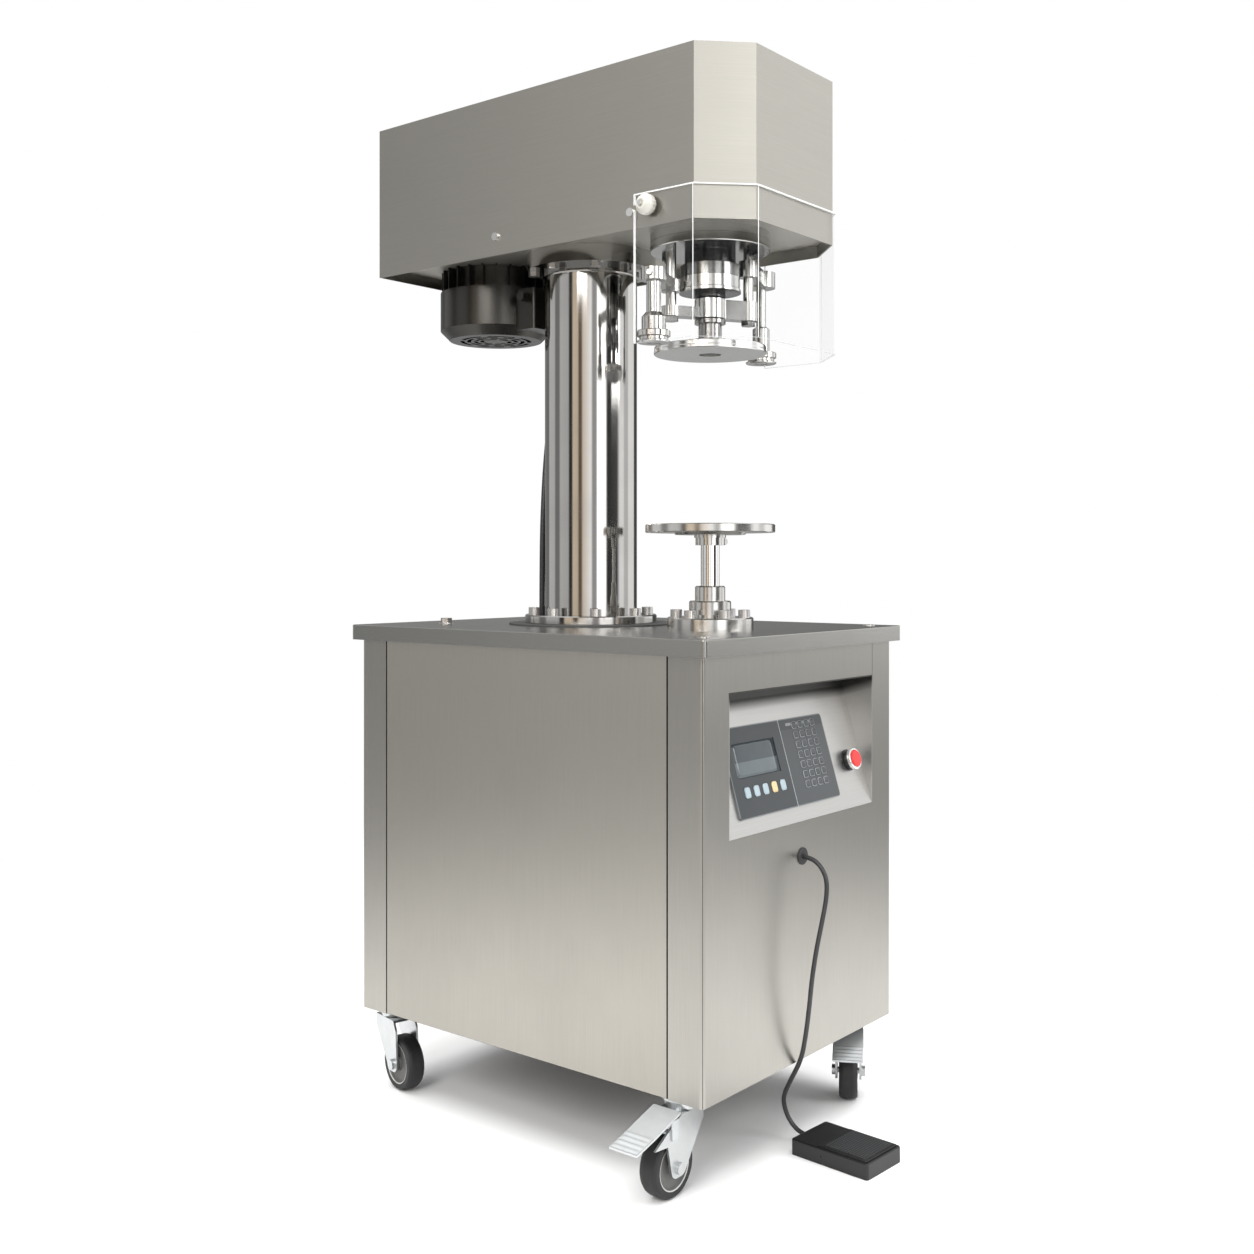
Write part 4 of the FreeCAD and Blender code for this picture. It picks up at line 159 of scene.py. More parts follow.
# The studio's screens are fixed in the world, with bearings from where the photograph was taken:
# -180 to 180 degrees become 0 to 1, and higher shares are seen in the right side of round pieces
STUDIO_FRONT = (-0.7604, -0.6494, 0.0)
STUDIO_SIDE = (0.6494, -0.7604, 0.0)
STUDIO_STRIPES = (
    (0.0, (0.3, 0.3, 0.3)), (0.135, (0.24, 0.24, 0.24)), (0.15, (0.8, 0.8, 0.8)),
    (0.213, (0.8, 0.8, 0.8)), (0.225, (0.3, 0.3, 0.3)), (0.26, (0.3, 0.3, 0.3)),
    (0.272, (0.8, 0.8, 0.8)), (0.338, (0.72, 0.72, 0.72)), (0.348, (0.05, 0.05, 0.05)),
    (0.366, (0.05, 0.05, 0.05)), (0.374, (1.05, 0.88, 0.7)), (0.408, (0.95, 0.8, 0.62)),
    (0.418, (0.2, 0.15, 0.1)), (0.434, (0.22, 0.17, 0.12)), (0.444, (1.1, 0.95, 0.8)),
    (0.5, (1.6, 1.6, 1.6)), (0.512, (0.55, 0.55, 0.55)), (0.536, (0.55, 0.55, 0.55)),
    (0.546, (3.0, 3.0, 3.0)), (0.6, (2.6, 2.6, 2.6)), (0.612, (0.05, 0.05, 0.05)),
    (0.69, (0.1, 0.1, 0.1)), (0.712, (1.4, 1.4, 1.4)), (0.745, (1.4, 1.4, 1.4)),
    (0.755, (0.9, 0.9, 0.9)), (0.79, (0.9, 0.9, 0.9)), (0.8, (1.45, 1.45, 1.45)),
    (0.87, (1.3, 1.3, 1.3)), (0.885, (0.06, 0.06, 0.06)), (0.94, (0.12, 0.12, 0.12)),
    (1.0, (0.3, 0.3, 0.3)))
STUDIO_LAMPS = (
    ("key_light", (-3.2, -1.0, 2.6), 1.6, 1.6, 70.0),
    ("fill_light", (0.9, -3.4, 2.2), 1.6, 1.6, 50.0),
    ("top_light", (0.0, 0.2, 3.6), 4.0, 4.0, 170.0))
LAMP_AIM = (0.0, 0.0, 0.8)

# The screens give way to a pale ceiling between these heights of the view's direction, and the floor
# turns to plain light between these distances from the machine
STUDIO_CEILING = (0.5, 0.8)
FLOOR_HALF = 8.0
FLOOR_FADE = (0.8, 2.2)

# Points of the foot switch's cord, which the part's source holds in millimetres. The spline cuts
# inside them
CORD_ROUTE = [
    (0.0274, -0.2608, 0.3717), (0.0274, -0.2788, 0.3717), (0.0272, -0.2944, 0.3627),
    (0.0266, -0.3034, 0.3471), (0.0240, -0.3048, 0.3260), (0.0170, -0.3028, 0.2980),
    (0.0080, -0.2998, 0.2640), (0.0015, -0.2968, 0.2260), (0.0015, -0.2928, 0.1880),
    (0.0030, -0.2868, 0.1520), (0.0090, -0.2768, 0.1190), (0.0240, -0.2492, 0.0789),
    (0.0330, -0.2344, 0.0551), (0.0375, -0.2339, 0.0366), (0.0390, -0.2428, 0.0204),
    (0.0384, -0.2588, 0.0110), (0.0371, -0.2771, 0.0110)]
CORD_DIAMETER = 0.006


# Shader helpers

class Shader:
    """A material with its nodes, and short ways to add and join them."""

    def __init__(self, name, tree=None):
        if tree is None:
            self.material = bpy.data.materials.new(name)
            self.material.use_nodes = True
            tree = self.material.node_tree
            self.surface = tree.nodes["Principled BSDF"]
        self.tree = tree

    def add(self, kind, **settings):
        """A new node with its settings."""
        node = self.tree.nodes.new(kind)
        for name, value in settings.items():
            setattr(node, name, value)
        return node

    def join(self, source, target):
        """Link two sockets."""
        self.tree.links.new(source, target)

    def place(self):
        """Socket of a point's place on its piece, in metres."""
        return self.add("ShaderNodeTexCoord").outputs["Object"]

    def split(self):
        """Sockets of a point's place along X, Y and Z."""
        node = self.add("ShaderNodeSeparateXYZ")
        self.join(self.place(), node.inputs[0])
        return node.outputs

    def math(self, operation, *values):
        """A Math node whose inputs are sockets or numbers."""
        node = self.add("ShaderNodeMath", operation=operation)
        for socket, value in zip(node.inputs, values):
            if isinstance(value, (int, float)):
                socket.default_value = value
            else:
                self.join(value, socket)
        return node.outputs[0]

    def vector(self, operation, first, second, result="Vector"):
        """A Vector Math node whose inputs are sockets or triples."""
        node = self.add("ShaderNodeVectorMath", operation=operation)
        for socket, value in zip(node.inputs, (first, second)):
            if isinstance(value, (tuple, list)):
                socket.default_value = value
            else:
                self.join(value, socket)
        return node.outputs[result]

    def spread(self, value, low, high, start=0.0, end=1.0):
        """Carry a value from start..end to low..high, held at both ends."""
        node = self.add("ShaderNodeMapRange")
        self.join(value, node.inputs["Value"])
        for name, number in (("From Min", start), ("From Max", end), ("To Min", low), ("To Max", high)):
            node.inputs[name].default_value = number
        return node.outputs["Result"]

    def noise(self, place, scale, detail=4.0, roughness=0.55):
        """Clouds whose scale is the number of their largest waves in a metre."""
        node = self.add("ShaderNodeTexNoise")
        self.join(place, node.inputs["Vector"])
        for name, number in (("Scale", scale), ("Detail", detail), ("Roughness", roughness)):
            node.inputs[name].default_value = number
        return node.outputs["Fac"]

    def blend(self, share, first, second):
        """Mix two colours, each a socket or a triple, by a share."""
        node = self.add("ShaderNodeMix", data_type="RGBA")
        self.join(share, node.inputs["Factor"])
        for name, value in (("A", first), ("B", second)):
            socket = [s for s in node.inputs if s.name == name and s.type == "RGBA"][0]
            if isinstance(value, (tuple, list)):
                socket.default_value = (*value[:3], 1.0)
            else:
                self.join(value, socket)
        return [s for s in node.outputs if s.type == "RGBA"][0]

    def bump(self, height, strength, distance):
        """Normal of a relief whose strength is a socket, and whose full height is in metres."""
        node = self.add("ShaderNodeBump")
        self.join(height, node.inputs["Height"])
        self.join(strength, node.inputs["Strength"])
        node.inputs["Distance"].default_value = distance
        return node.outputs["Normal"]

    def apart(self, value, middle):
        """Distance of a value from a middle."""
        return self.math("ABSOLUTE", self.math("SUBTRACT", value, middle))

    def between(self, value, low, high):
        """1 between two limits and 0 outside them."""
        above = self.math("GREATER_THAN", value, low)
        return self.math("MULTIPLY", above, self.math("LESS_THAN", value, high))

    def finish(self, tone, rough, normal=None):
        """Feed the surface's colour, roughness and normal, and give back the material."""
        for socket, name in ((tone, "Base Color"), (rough, "Roughness"), (normal, "Normal")):
            if socket is not None:
                self.join(socket, self.surface.inputs[name])
        return self.material

    def use(self, name, **values):
        """Add a shared node group with its numbers set."""
        node = self.add("ShaderNodeGroup", node_tree=bpy.data.node_groups[name])
        for key, value in values.items():
            node.inputs[key.replace("_", " ").title()].default_value = value
        return node


def shade(colour, factor):
    """A colour times a factor, held at white."""
    return tuple(min(1.0, channel * factor) for channel in colour[:3])


def group_tree(name, inputs, outputs):
    """An empty node group with its named sockets."""
    tree = bpy.data.node_groups.new(name, "ShaderNodeTree")
    for label, kind, value in inputs:
        socket = tree.interface.new_socket(name=label, in_out="INPUT", socket_type=kind)
        socket.default_value = value
    for label, kind in outputs:
        tree.interface.new_socket(name=label, in_out="OUTPUT", socket_type=kind)
    shader = Shader(name, tree)
    return shader, tree.nodes.new("NodeGroupInput"), tree.nodes.new("NodeGroupOutput")


def make_grain_group():
    """Lines of a brushed sheet: noise stretched along one direction, with faint cloudy smudges."""
    shader, given, result = group_tree(
        "Grain", [("Stretch", "NodeSocketVector", (1, 1, 1)), ("Depth", "NodeSocketFloat", 0.2)],
        [("Lines", "NodeSocketFloat"), ("Smudges", "NodeSocketFloat"), ("Normal", "NodeSocketVector")])
    place = shader.place()
    stretched = shader.vector("MULTIPLY", place, given.outputs["Stretch"])
    lines = shader.noise(stretched, 1.0, 6.0, 0.7)
    shader.join(lines, result.inputs["Lines"])
    shader.join(shader.noise(place, 6.0, 3.0, 0.6), result.inputs["Smudges"])
    shader.join(shader.bump(lines, given.outputs["Depth"], 0.0002), result.inputs["Normal"])


def make_lathe_group():
    """Tool rings round an upright axis: fine waves by the distance from the axis and by height."""
    shader, given, result = group_tree(
        "Lathe", [("Axis Place", "NodeSocketVector", (0, 0, 0)), ("Pitch", "NodeSocketFloat", 0.0012),
                  ("Depth", "NodeSocketFloat", 0.2)],
        [("Rings", "NodeSocketFloat"), ("Smudges", "NodeSocketFloat"), ("Normal", "NodeSocketVector")])
    place = shader.place()
    away = shader.vector("SUBTRACT", place, given.outputs["Axis Place"])
    flat = shader.vector("MULTIPLY", away, (1.0, 1.0, 0.0))
    radius = shader.vector("LENGTH", flat, (0, 0, 0), "Value")
    run = shader.math("ADD", radius, shader.split()["Z"])
    phase = shader.math("DIVIDE", run, given.outputs["Pitch"])
    wobbly = shader.math("ADD", phase, shader.noise(place, 40.0, 2.0))
    wave = shader.math("SINE", shader.math("MULTIPLY", wobbly, RING_TURN))
    rings = shader.spread(wave, 0.0, 1.0, -1.0, 1.0)
    shader.join(rings, result.inputs["Rings"])
    shader.join(shader.noise(place, 14.0, 3.0), result.inputs["Smudges"])
    shader.join(shader.bump(rings, given.outputs["Depth"], 0.00005), result.inputs["Normal"])


def make_pebble_group():
    """Small even bumps of moulded plastic, rubber or paint."""
    shader, given, result = group_tree(
        "Pebble", [("Scale", "NodeSocketFloat", 900.0), ("Depth", "NodeSocketFloat", 0.2)],
        [("Clouds", "NodeSocketFloat"), ("Normal", "NodeSocketVector")])
    place = shader.place()
    pebbles = shader.add("ShaderNodeTexNoise")
    shader.join(place, pebbles.inputs["Vector"])
    shader.join(given.outputs["Scale"], pebbles.inputs["Scale"])
    shader.join(shader.noise(place, 12.0, 4.0), result.inputs["Clouds"])
    relief = shader.bump(pebbles.outputs["Fac"], given.outputs["Depth"], 0.0002)
    shader.join(relief, result.inputs["Normal"])


def banded(shader, tone, colour, zones):
    """Change a tone between pairs of heights, by a factor of the plain colour."""
    for low, high, factor in zones:
        within = shader.between(shader.split()["Z"], low, high)
        tone = shader.blend(within, tone, shade(colour, factor))
    return tone


def carcass_gap_shade(shader):
    """Share of painted shade inside the carcass: the lips behind the panels and the recess's sheet
    edges.
    """
    place = shader.split()
    across = shader.math("LESS_THAN", shader.apart(place["X"], float(STAND[0])), CARCASS_INSIDE[0])
    along = shader.math("LESS_THAN", shader.apart(place["Y"], float(STAND[1])), CARCASS_INSIDE[1])
    return shader.math("MULTIPLY", across, along)


def panel_edge_and_foot_shade(shader):
    """Share of painted shade along the upright edges of the side panels, and toward their foot."""
    place = shader.split()
    rear = shader.math("GREATER_THAN", place["Y"], PANEL_ENDS[1] - PANEL_EDGE)
    front = shader.math("LESS_THAN", place["Y"], PANEL_ENDS[0] + PANEL_EDGE)
    foot = shader.spread(place["Z"], *PANEL_FOOT_SHADE)
    return shader.math("MAXIMUM", shader.math("MAXIMUM", rear, front), foot)


def recess_shadow(shader):
    """Share of darkness under the recess's upper edge."""
    _, up, _ = slope_sockets(shader)
    return shader.spread(up, *RECESS_SHADOW)


def brushed(name, colour, roughness, stretch, depth=0.25, metallic=1.0, dark=None):
    """Brushed sheet steel whose lines run where the stretch is small.

    A function given as dark says how far each place goes toward a tenth of the colour, as painted
    shade.
    """
    shader = Shader(name)
    grain = shader.use("Grain", stretch=stretch, depth=depth)
    smudges = grain.outputs["Smudges"]
    tone = shader.blend(grain.outputs["Lines"], shade(colour, 0.88), shade(colour, 1.12))
    tone = shader.blend(shader.spread(smudges, 0.0, 0.2, 0.4, 0.8), tone, shade(colour, 0.8))
    if dark:
        tone = shader.blend(dark(shader), tone, shade(colour, 0.1))
    rough = shader.spread(smudges, roughness - 0.01, roughness + 0.03, 0.3, 0.7)
    shader.surface.inputs["Metallic"].default_value = metallic
    return shader.finish(tone, rough, grain.outputs["Normal"])


def turned(name, colour, roughness, axis, pitch=0.0012, depth=0.25, zones=()):
    """Turned steel with fine tool rings round an upright axis."""
    shader = Shader(name)
    lathe = shader.use("Lathe", axis_place=(*axis, 0.0), pitch=pitch, depth=depth)
    smudges = lathe.outputs["Smudges"]
    tone = shader.blend(lathe.outputs["Rings"], shade(colour, 0.93), shade(colour, 1.06))
    tone = shader.blend(shader.spread(smudges, 0.0, 0.4, 0.4, 0.8), tone, shade(colour, 0.78))
    tone = banded(shader, tone, colour, zones)
    rough = shader.spread(smudges, roughness - 0.05, roughness + 0.1)
    shader.surface.inputs["Metallic"].default_value = 1.0
    return shader.finish(tone, rough, lathe.outputs["Normal"])


def moulded(name, colour, roughness, scale=900.0, depth=0.2, metallic=0.0, zones=()):
    """Moulded plastic, rubber or paint with a fine pebbled skin and faint dust."""
    shader = Shader(name)
    pebble = shader.use("Pebble", scale=scale, depth=depth)
    clouds = pebble.outputs["Clouds"]
    tone = shader.blend(clouds, shade(colour, 0.85), shade(colour, 1.18))
    tone = banded(shader, tone, colour, zones)
    rough = shader.spread(clouds, roughness - 0.06, roughness + 0.08)
    shader.surface.inputs["Metallic"].default_value = metallic
    return shader.finish(tone, rough, pebble.outputs["Normal"])


def clear_sheet(name):
    """Clear acrylic: nearly unseen faces, and pale light in its sawn edges and folds."""
    shader = Shader(name)
    side, depth, height = shader.split()
    across = shader.apart(side, HEAD_AXIS[0])
    # Painted highlights: pale lines along the top edge, the rear end, the folds and the foot
    foot = shader.math("LESS_THAN", height, GUARD_BOTTOM + GUARD_FOOT_LINE)
    rear = shader.math("GREATER_THAN", depth, GUARD_REAR - GUARD_RIM)
    pale = [shader.math("MULTIPLY", foot, GUARD_FOOT_SHARE), rear]
    for fold_x, fold_y in GUARD_FOLDS:
        away = shader.math("ADD", shader.apart(across, fold_x), shader.apart(depth, fold_y))
        pale.append(shader.math("LESS_THAN", away, GUARD_FOLD_LINE))
    lit = shader.math("GREATER_THAN", height, GUARD_TOP - GUARD_RIM)
    for line in pale:
        lit = shader.math("MAXIMUM", lit, line)
    smear = shader.noise(shader.place(), 9.0, 5.0, 0.7)
    # Painted sheen: Fresnel raises the sheet's cover at grazing angles, where its grey tint stands in
    # for reflection
    facing = shader.add("ShaderNodeFresnel")
    facing.inputs["IOR"].default_value = ACRYLIC_IOR
    behind = shader.add("ShaderNodeNewGeometry").outputs["Backfacing"]
    grazing = shader.math("MULTIPLY", facing.outputs[0], facing.outputs[0])
    grazing = shader.math("MULTIPLY", grazing, shader.math("SUBTRACT", 1.0, behind))
    painted_sheen = shader.math("MULTIPLY", grazing, GUARD_SHEEN)
    film = shader.math("ADD", painted_sheen, shader.spread(smear, 0.0, GUARD_SMEAR))
    alpha = shader.math("MAXIMUM", film, shader.math("MULTIPLY", lit, GUARD_LINE))
    shader.join(alpha, shader.surface.inputs["Alpha"])
    shader.surface.inputs["IOR"].default_value = ACRYLIC_IOR
    tint = shader.blend(lit, (0.30, 0.34, 0.35), (0.98, 0.99, 0.99))
    return shader.finish(tint, shader.spread(smear, 0.02, 0.10))


def wheel_material(name, centre, axle):
    """Castor wheel by distance from its axle: grey hub, pale ring and black tread."""
    shader = Shader(name)
    away = shader.vector("SUBTRACT", shader.place(), tuple(centre))
    along = shader.vector("DOT_PRODUCT", away, tuple(axle), "Value")
    square = shader.vector("DOT_PRODUCT", away, away, "Value")
    radius = shader.math("SQRT", shader.math("SUBTRACT", square, shader.math("MULTIPLY", along, along)))
    pebble = shader.use("Pebble", scale=1200.0, depth=0.25)
    clouds = pebble.outputs["Clouds"]
    tread = shader.blend(clouds, (0.004, 0.004, 0.005), (0.010, 0.010, 0.010))
    hub = shader.blend(clouds, (0.070, 0.070, 0.070), (0.125, 0.125, 0.120))
    tone = shader.blend(shader.math("LESS_THAN", radius, WHEEL_HUB), tread, hub)
    tone = shader.blend(shader.between(radius, WHEEL_HUB, WHEEL_RING), tone, (0.46, 0.46, 0.45))
    return shader.finish(tone, shader.spread(clouds, 0.45, 0.65), pebble.outputs["Normal"])


# Scene helpers

def dress(names, material):
    """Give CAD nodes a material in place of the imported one."""
    for name in names if isinstance(names, (list, tuple)) else [names]:
        item = frame["nodes"][name]
        item.data.materials.clear()
        item.data.materials.append(material)


def mesh_piece(name, points, faces, body, material):
    """A new smooth piece from whole arrays of points and faces, riding on a body."""
    mesh = bpy.data.meshes.new(name)
    mesh.from_pydata(points.tolist(), [], faces)
    mesh.validate()
    mesh.update()
    mesh.polygons.foreach_set("use_smooth", [True] * len(mesh.polygons))
    item = bpy.data.objects.new(name, mesh)
    bpy.context.scene.collection.objects.link(item)
    mesh.materials.append(material)
    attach(item, body)
    return item


def grid_faces(rows, columns, wrap):
    """Quads between neighbouring points of a grid, closed along its columns where asked."""
    across = columns if wrap else columns - 1
    row, column = np.meshgrid(np.arange(rows - 1), np.arange(across), indexing="ij")
    after = (column + 1) % columns
    quads = np.stack([row * columns + column, row * columns + after,
                      (row + 1) * columns + after, (row + 1) * columns + column], axis=-1)
    return quads.reshape(-1, 4).tolist()


def capped_faces(rows, columns):
    """Quads of a closed tube plus the two end caps."""
    caps = [list(range(columns))[::-1], list(range((rows - 1) * columns, rows * columns))]
    return grid_faces(rows, columns, True) + caps


def carry(local, origin, axis_x, axis_y, axis_z):
    """Carry points from a local frame into the row frame."""
    return origin + local @ np.array([axis_x, axis_y, axis_z], float)


# Pieces

def slope_frame():
    """Axes of the sloped control panel: across, up the slope and out of it."""
    up = np.array([0.0, math.sin(SLOPE_LEAN), math.cos(SLOPE_LEAN)])
    out = np.array([0.0, -math.cos(SLOPE_LEAN), math.sin(SLOPE_LEAN)])
    return np.array([1.0, 0.0, 0.0]), up, out


def slope_sockets(shader):
    """Sockets of a point's place across the control panel, up its slope and out of it."""
    away = shader.vector("SUBTRACT", shader.place(), tuple(SLOPE_FOOT))
    return [shader.vector("DOT_PRODUCT", away, tuple(axis), "Value") for axis in slope_frame()]


def key_caps(name, caps, rise, base, material, power=0.45):
    """Low domed keys in one mesh: superellipses in plan whose height falls off toward their rims.

    Each row of caps is the middle's place across and up the slope, the width and the height. A lower
    power makes squarer corners. A dome stands above its base by the rise, less the rise times the
    sixth power of the share of the way out, and a skirt drops from its rim.
    """
    across, upward, outward = slope_frame()
    rings, around, inner, drop = KEY_GRID
    share = np.linspace(1.0, inner, rings)[:, None]
    angle = np.linspace(0.0, 2.0 * np.pi, around, endpoint=False)[None, :]
    shape_x = np.sign(np.cos(angle)) * np.abs(np.cos(angle)) ** power * share / 2
    shape_y = np.sign(np.sin(angle)) * np.abs(np.sin(angle)) ** power * share / 2
    shape_z = base + rise * (1.0 - share ** 6) + 0 * angle
    points, faces = [], []
    for x, up, width, height in caps:
        dome = np.stack([x + shape_x * width, up + shape_y * height, shape_z], axis=-1)
        skirt = dome[:1] - np.array([0.0, 0.0, drop])
        first = len(points) * (rings + 1) * around
        points.append(np.concatenate([skirt, dome]).reshape(-1, 3))
        faces += [[first + corner for corner in face] for face in capped_faces(rings + 1, around)]
    points = carry(np.concatenate(points), SLOPE_FOOT, across, upward, outward)
    return mesh_piece(name, points, faces, "machine_frame", material)


def film_material():
    """Dark keypad film: a paler field behind the small keys, a bar, a rim and a dividing line."""
    shader = Shader("keypad_film")
    across, up, _ = slope_sockets(shader)
    pebble = shader.use("Pebble", scale=900.0, depth=0.12)
    clouds = pebble.outputs["Clouds"]
    beside = shader.math("GREATER_THAN", across, KEYPAD_X + FILM_LINE)
    field = shader.math("MULTIPLY", beside, shader.math("LESS_THAN", up, KEYPAD_UP + FIELD_TOP))
    bar_x = shader.math("LESS_THAN", shader.apart(across, KEYPAD_X + BAR_PLACE[0]), BAR_HALF[0])
    bar_up = shader.math("LESS_THAN", shader.apart(up, KEYPAD_UP + BAR_PLACE[1]), BAR_HALF[1])
    side = shader.math("GREATER_THAN", shader.apart(across, KEYPAD_X), FILM_HALF[0])
    end = shader.math("GREATER_THAN", shader.apart(up, KEYPAD_UP), FILM_HALF[1])
    line = shader.math("LESS_THAN", shader.apart(across, KEYPAD_X + FILM_LINE), FILM_LINE_HALF)
    tone = shader.blend(clouds, (0.020, 0.024, 0.027), (0.036, 0.041, 0.045))
    for mask, colour in ((shader.math("MULTIPLY", field, 0.5), (0.060, 0.066, 0.070)),
                         (shader.math("MULTIPLY", bar_x, bar_up), (0.20, 0.22, 0.23)),
                         (shader.math("MAXIMUM", side, end), (0.16, 0.17, 0.175)),
                         (line, (0.30, 0.32, 0.33))):
        tone = shader.blend(mask, tone, colour)
    return shader.finish(tone, shader.spread(clouds, 0.26, 0.36), pebble.outputs["Normal"])


def display_material():
    """Unlit display behind its pane: a darker band over a paler one."""
    shader = Shader("display_glass")
    _, up, _ = slope_sockets(shader)
    band = shader.math("GREATER_THAN", up, KEYPAD_UP + PANE_BAND)
    clouds = shader.noise(shader.place(), 60.0, 3.0)
    dark = shader.blend(clouds, (0.040, 0.052, 0.058), (0.055, 0.068, 0.075))
    pale = shader.blend(clouds, (0.090, 0.110, 0.120), (0.115, 0.134, 0.146))
    return shader.finish(shader.blend(band, pale, dark), shader.spread(clouds, 0.10, 0.18))


def bezel_material():
    """Stop button's body: black barrel with a bright ring round its head."""
    shader = Shader("button_body")
    _, _, out = slope_sockets(shader)
    ring = shader.math("GREATER_THAN", out, BUTTON_RING)
    pebble = shader.use("Pebble", scale=1100.0, depth=0.08)
    clouds = pebble.outputs["Clouds"]
    black = shader.blend(clouds, (0.014, 0.014, 0.015), (0.028, 0.028, 0.030))
    bright = shader.blend(clouds, (0.70, 0.70, 0.69), (0.82, 0.82, 0.81))
    shader.join(ring, shader.surface.inputs["Metallic"])
    tone = shader.blend(ring, black, bright)
    return shader.finish(tone, shader.spread(clouds, 0.20, 0.28), pebble.outputs["Normal"])


def build_camera():
    """Camera at the photograph's place, level, with the horizon shifted above the middle."""
    data = bpy.data.cameras.new("photo_camera")
    data.lens = CAMERA_LENS
    data.sensor_width = CAMERA_SENSOR
    data.shift_y = CAMERA_SHIFT
    data.clip_start, data.clip_end = CAMERA_REACH
    item = bpy.data.objects.new("photo_camera", data)
    item.location = CAMERA_PLACE
    item.rotation_euler = (math.radians(90.0), 0.0, math.radians(CAMERA_HEADING))
    bpy.context.scene.collection.objects.link(item)
    bpy.context.scene.camera = item


def build_cord():
    """The foot switch's cord: one NURBS spline through the route's control points."""
    curve = bpy.data.curves.new("pedal_cord_line", "CURVE")
    curve.dimensions = "3D"
    curve.bevel_depth = CORD_DIAMETER / 2
    curve.bevel_resolution = 6
    curve.resolution_u = 12
    spline = curve.splines.new("NURBS")
    spline.points.add(len(CORD_ROUTE) - 1)
    for point, place in zip(spline.points, CORD_ROUTE):
        point.co = (*place, 1.0)
    spline.order_u = 3
    spline.use_endpoint_u = True
    item = bpy.data.objects.new("pedal_cord_line", curve)
    bpy.context.scene.collection.objects.link(item)
    curve.materials.append(moulded("cord_jacket", (0.022, 0.022, 0.024), 0.42, 1500.0, 0.15))
    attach(item, "machine_frame")
    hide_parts("pedal_cord")


def lay_floor():
    """Square pale floor that turns to plain light away from the machine."""
    floor = bpy.data.meshes.new("stage_floor")
    half = FLOOR_HALF
    corners = [(-half, -half, 0), (half, -half, 0), (half, half, 0), (-half, half, 0)]
    floor.from_pydata(corners, [], [(0, 1, 2, 3)])
    item = bpy.data.objects.new("stage_floor", floor)
    bpy.context.scene.collection.objects.link(item)
    shader = Shader("stage_floor")
    place = shader.place()
    far = shader.spread(shader.vector("LENGTH", place, (0, 0, 0), "Value"), 0.0, 1.0, *FLOOR_FADE)
    near_tone = shader.blend(shader.noise(place, 1.5, 2.0), (0.86, 0.86, 0.86), (0.89, 0.89, 0.89))
    shader.join(shader.blend(far, near_tone, (0.0, 0.0, 0.0)), shader.surface.inputs["Base Color"])
    seen = shader.add("ShaderNodeLightPath").outputs["Is Camera Ray"]
    glow = shader.math("MULTIPLY", far, shader.spread(seen, 0.45, 1.0))
    shader.join(glow, shader.surface.inputs["Emission Strength"])
    shader.surface.inputs["Emission Color"].default_value = (1.0, 1.0, 1.0, 1.0)
    shader.surface.inputs["Specular IOR Level"].default_value = 0.0
    shader.surface.inputs["Roughness"].default_value = 0.6
    floor.materials.append(shader.material)


def set_studio():
    """World with screens by bearing, under a pale ceiling."""
    world = bpy.data.worlds.new("studio")
    bpy.context.scene.world = world
    world.use_nodes = True
    bpy.context.scene.view_settings.view_transform = "Standard"
    studio = Shader("studio", world.node_tree)
    direction = studio.add("ShaderNodeTexCoord").outputs["Generated"]
    ahead = studio.vector("DOT_PRODUCT", direction, STUDIO_FRONT, "Value")
    aside = studio.vector("DOT_PRODUCT", direction, STUDIO_SIDE, "Value")
    turn = studio.math("ARCTAN2", aside, ahead)
    ramp = studio.add("ShaderNodeValToRGB")
    studio.join(studio.spread(turn, 0.0, 1.0, -math.pi, math.pi), ramp.inputs["Fac"])
    elements = ramp.color_ramp.elements
    while len(elements) < len(STUDIO_STRIPES):
        elements.new(0.5)
    for element, (share, colour) in zip(elements, STUDIO_STRIPES):
        element.position = share
        element.color = (*colour, 1.0)
    split = studio.add("ShaderNodeSeparateXYZ")
    studio.join(direction, split.inputs[0])
    ceiling = studio.spread(split.outputs["Z"], 0.0, 1.0, *STUDIO_CEILING)
    tone = studio.blend(ceiling, ramp.outputs["Color"], (1.10, 1.10, 1.10))
    camera_ray = studio.add("ShaderNodeLightPath").outputs["Is Camera Ray"]
    background = world.node_tree.nodes["Background"]
    studio.join(studio.blend(camera_ray, tone, (1.0, 1.0, 1.0)), background.inputs["Color"])


def hang_lamps():
    """Soft square lamps turned to the machine's middle."""
    for name, place, width, height, power in STUDIO_LAMPS:
        data = bpy.data.lights.new(name, "AREA")
        data.shape = "RECTANGLE"
        data.size, data.size_y, data.energy = width, height, power
        lamp = bpy.data.objects.new(name, data)
        lamp.location = place
        lamp.visible_glossy = name != "top_light"
        bpy.context.scene.collection.objects.link(lamp)
        towards = np.array(LAMP_AIM) - np.array(place)
        lamp.rotation_mode = "QUATERNION"
        lamp.rotation_quaternion = Vector(towards).to_track_quat("-Z", "Y")


def build_stage():
    """Pale floor, soft lamps, and dark and bright screens round the machine."""
    lay_floor()
    set_studio()
    hang_lamps()


def build_cabinet():
    """Brushed stainless carcass, panels and table top."""
    side_steel = tuple(bpy.context.scene.seamer.panel_colour)
    dress("cabinet_frame", brushed("carcass_steel", (0.385, 0.372, 0.342), 0.32, (900.0, 900.0, 12.0),
                                   dark=carcass_gap_shade))
    dress("side_panels", brushed("panel_steel", side_steel, 0.31, (900.0, 900.0, 10.0),
                                 dark=panel_edge_and_foot_shade))
    dress("rear_panel", brushed("rear_steel", (0.45, 0.43, 0.385), 0.31, (900.0, 900.0, 10.0)))
    dress("table_top", brushed("table_steel", (0.365, 0.36, 0.34), 0.24, (14.0, 900.0, 900.0)))
    dress("control_recess", brushed("recess_steel", (0.52, 0.515, 0.502), 0.38, (12.0, 900.0, 900.0),
                                    dark=recess_shadow))


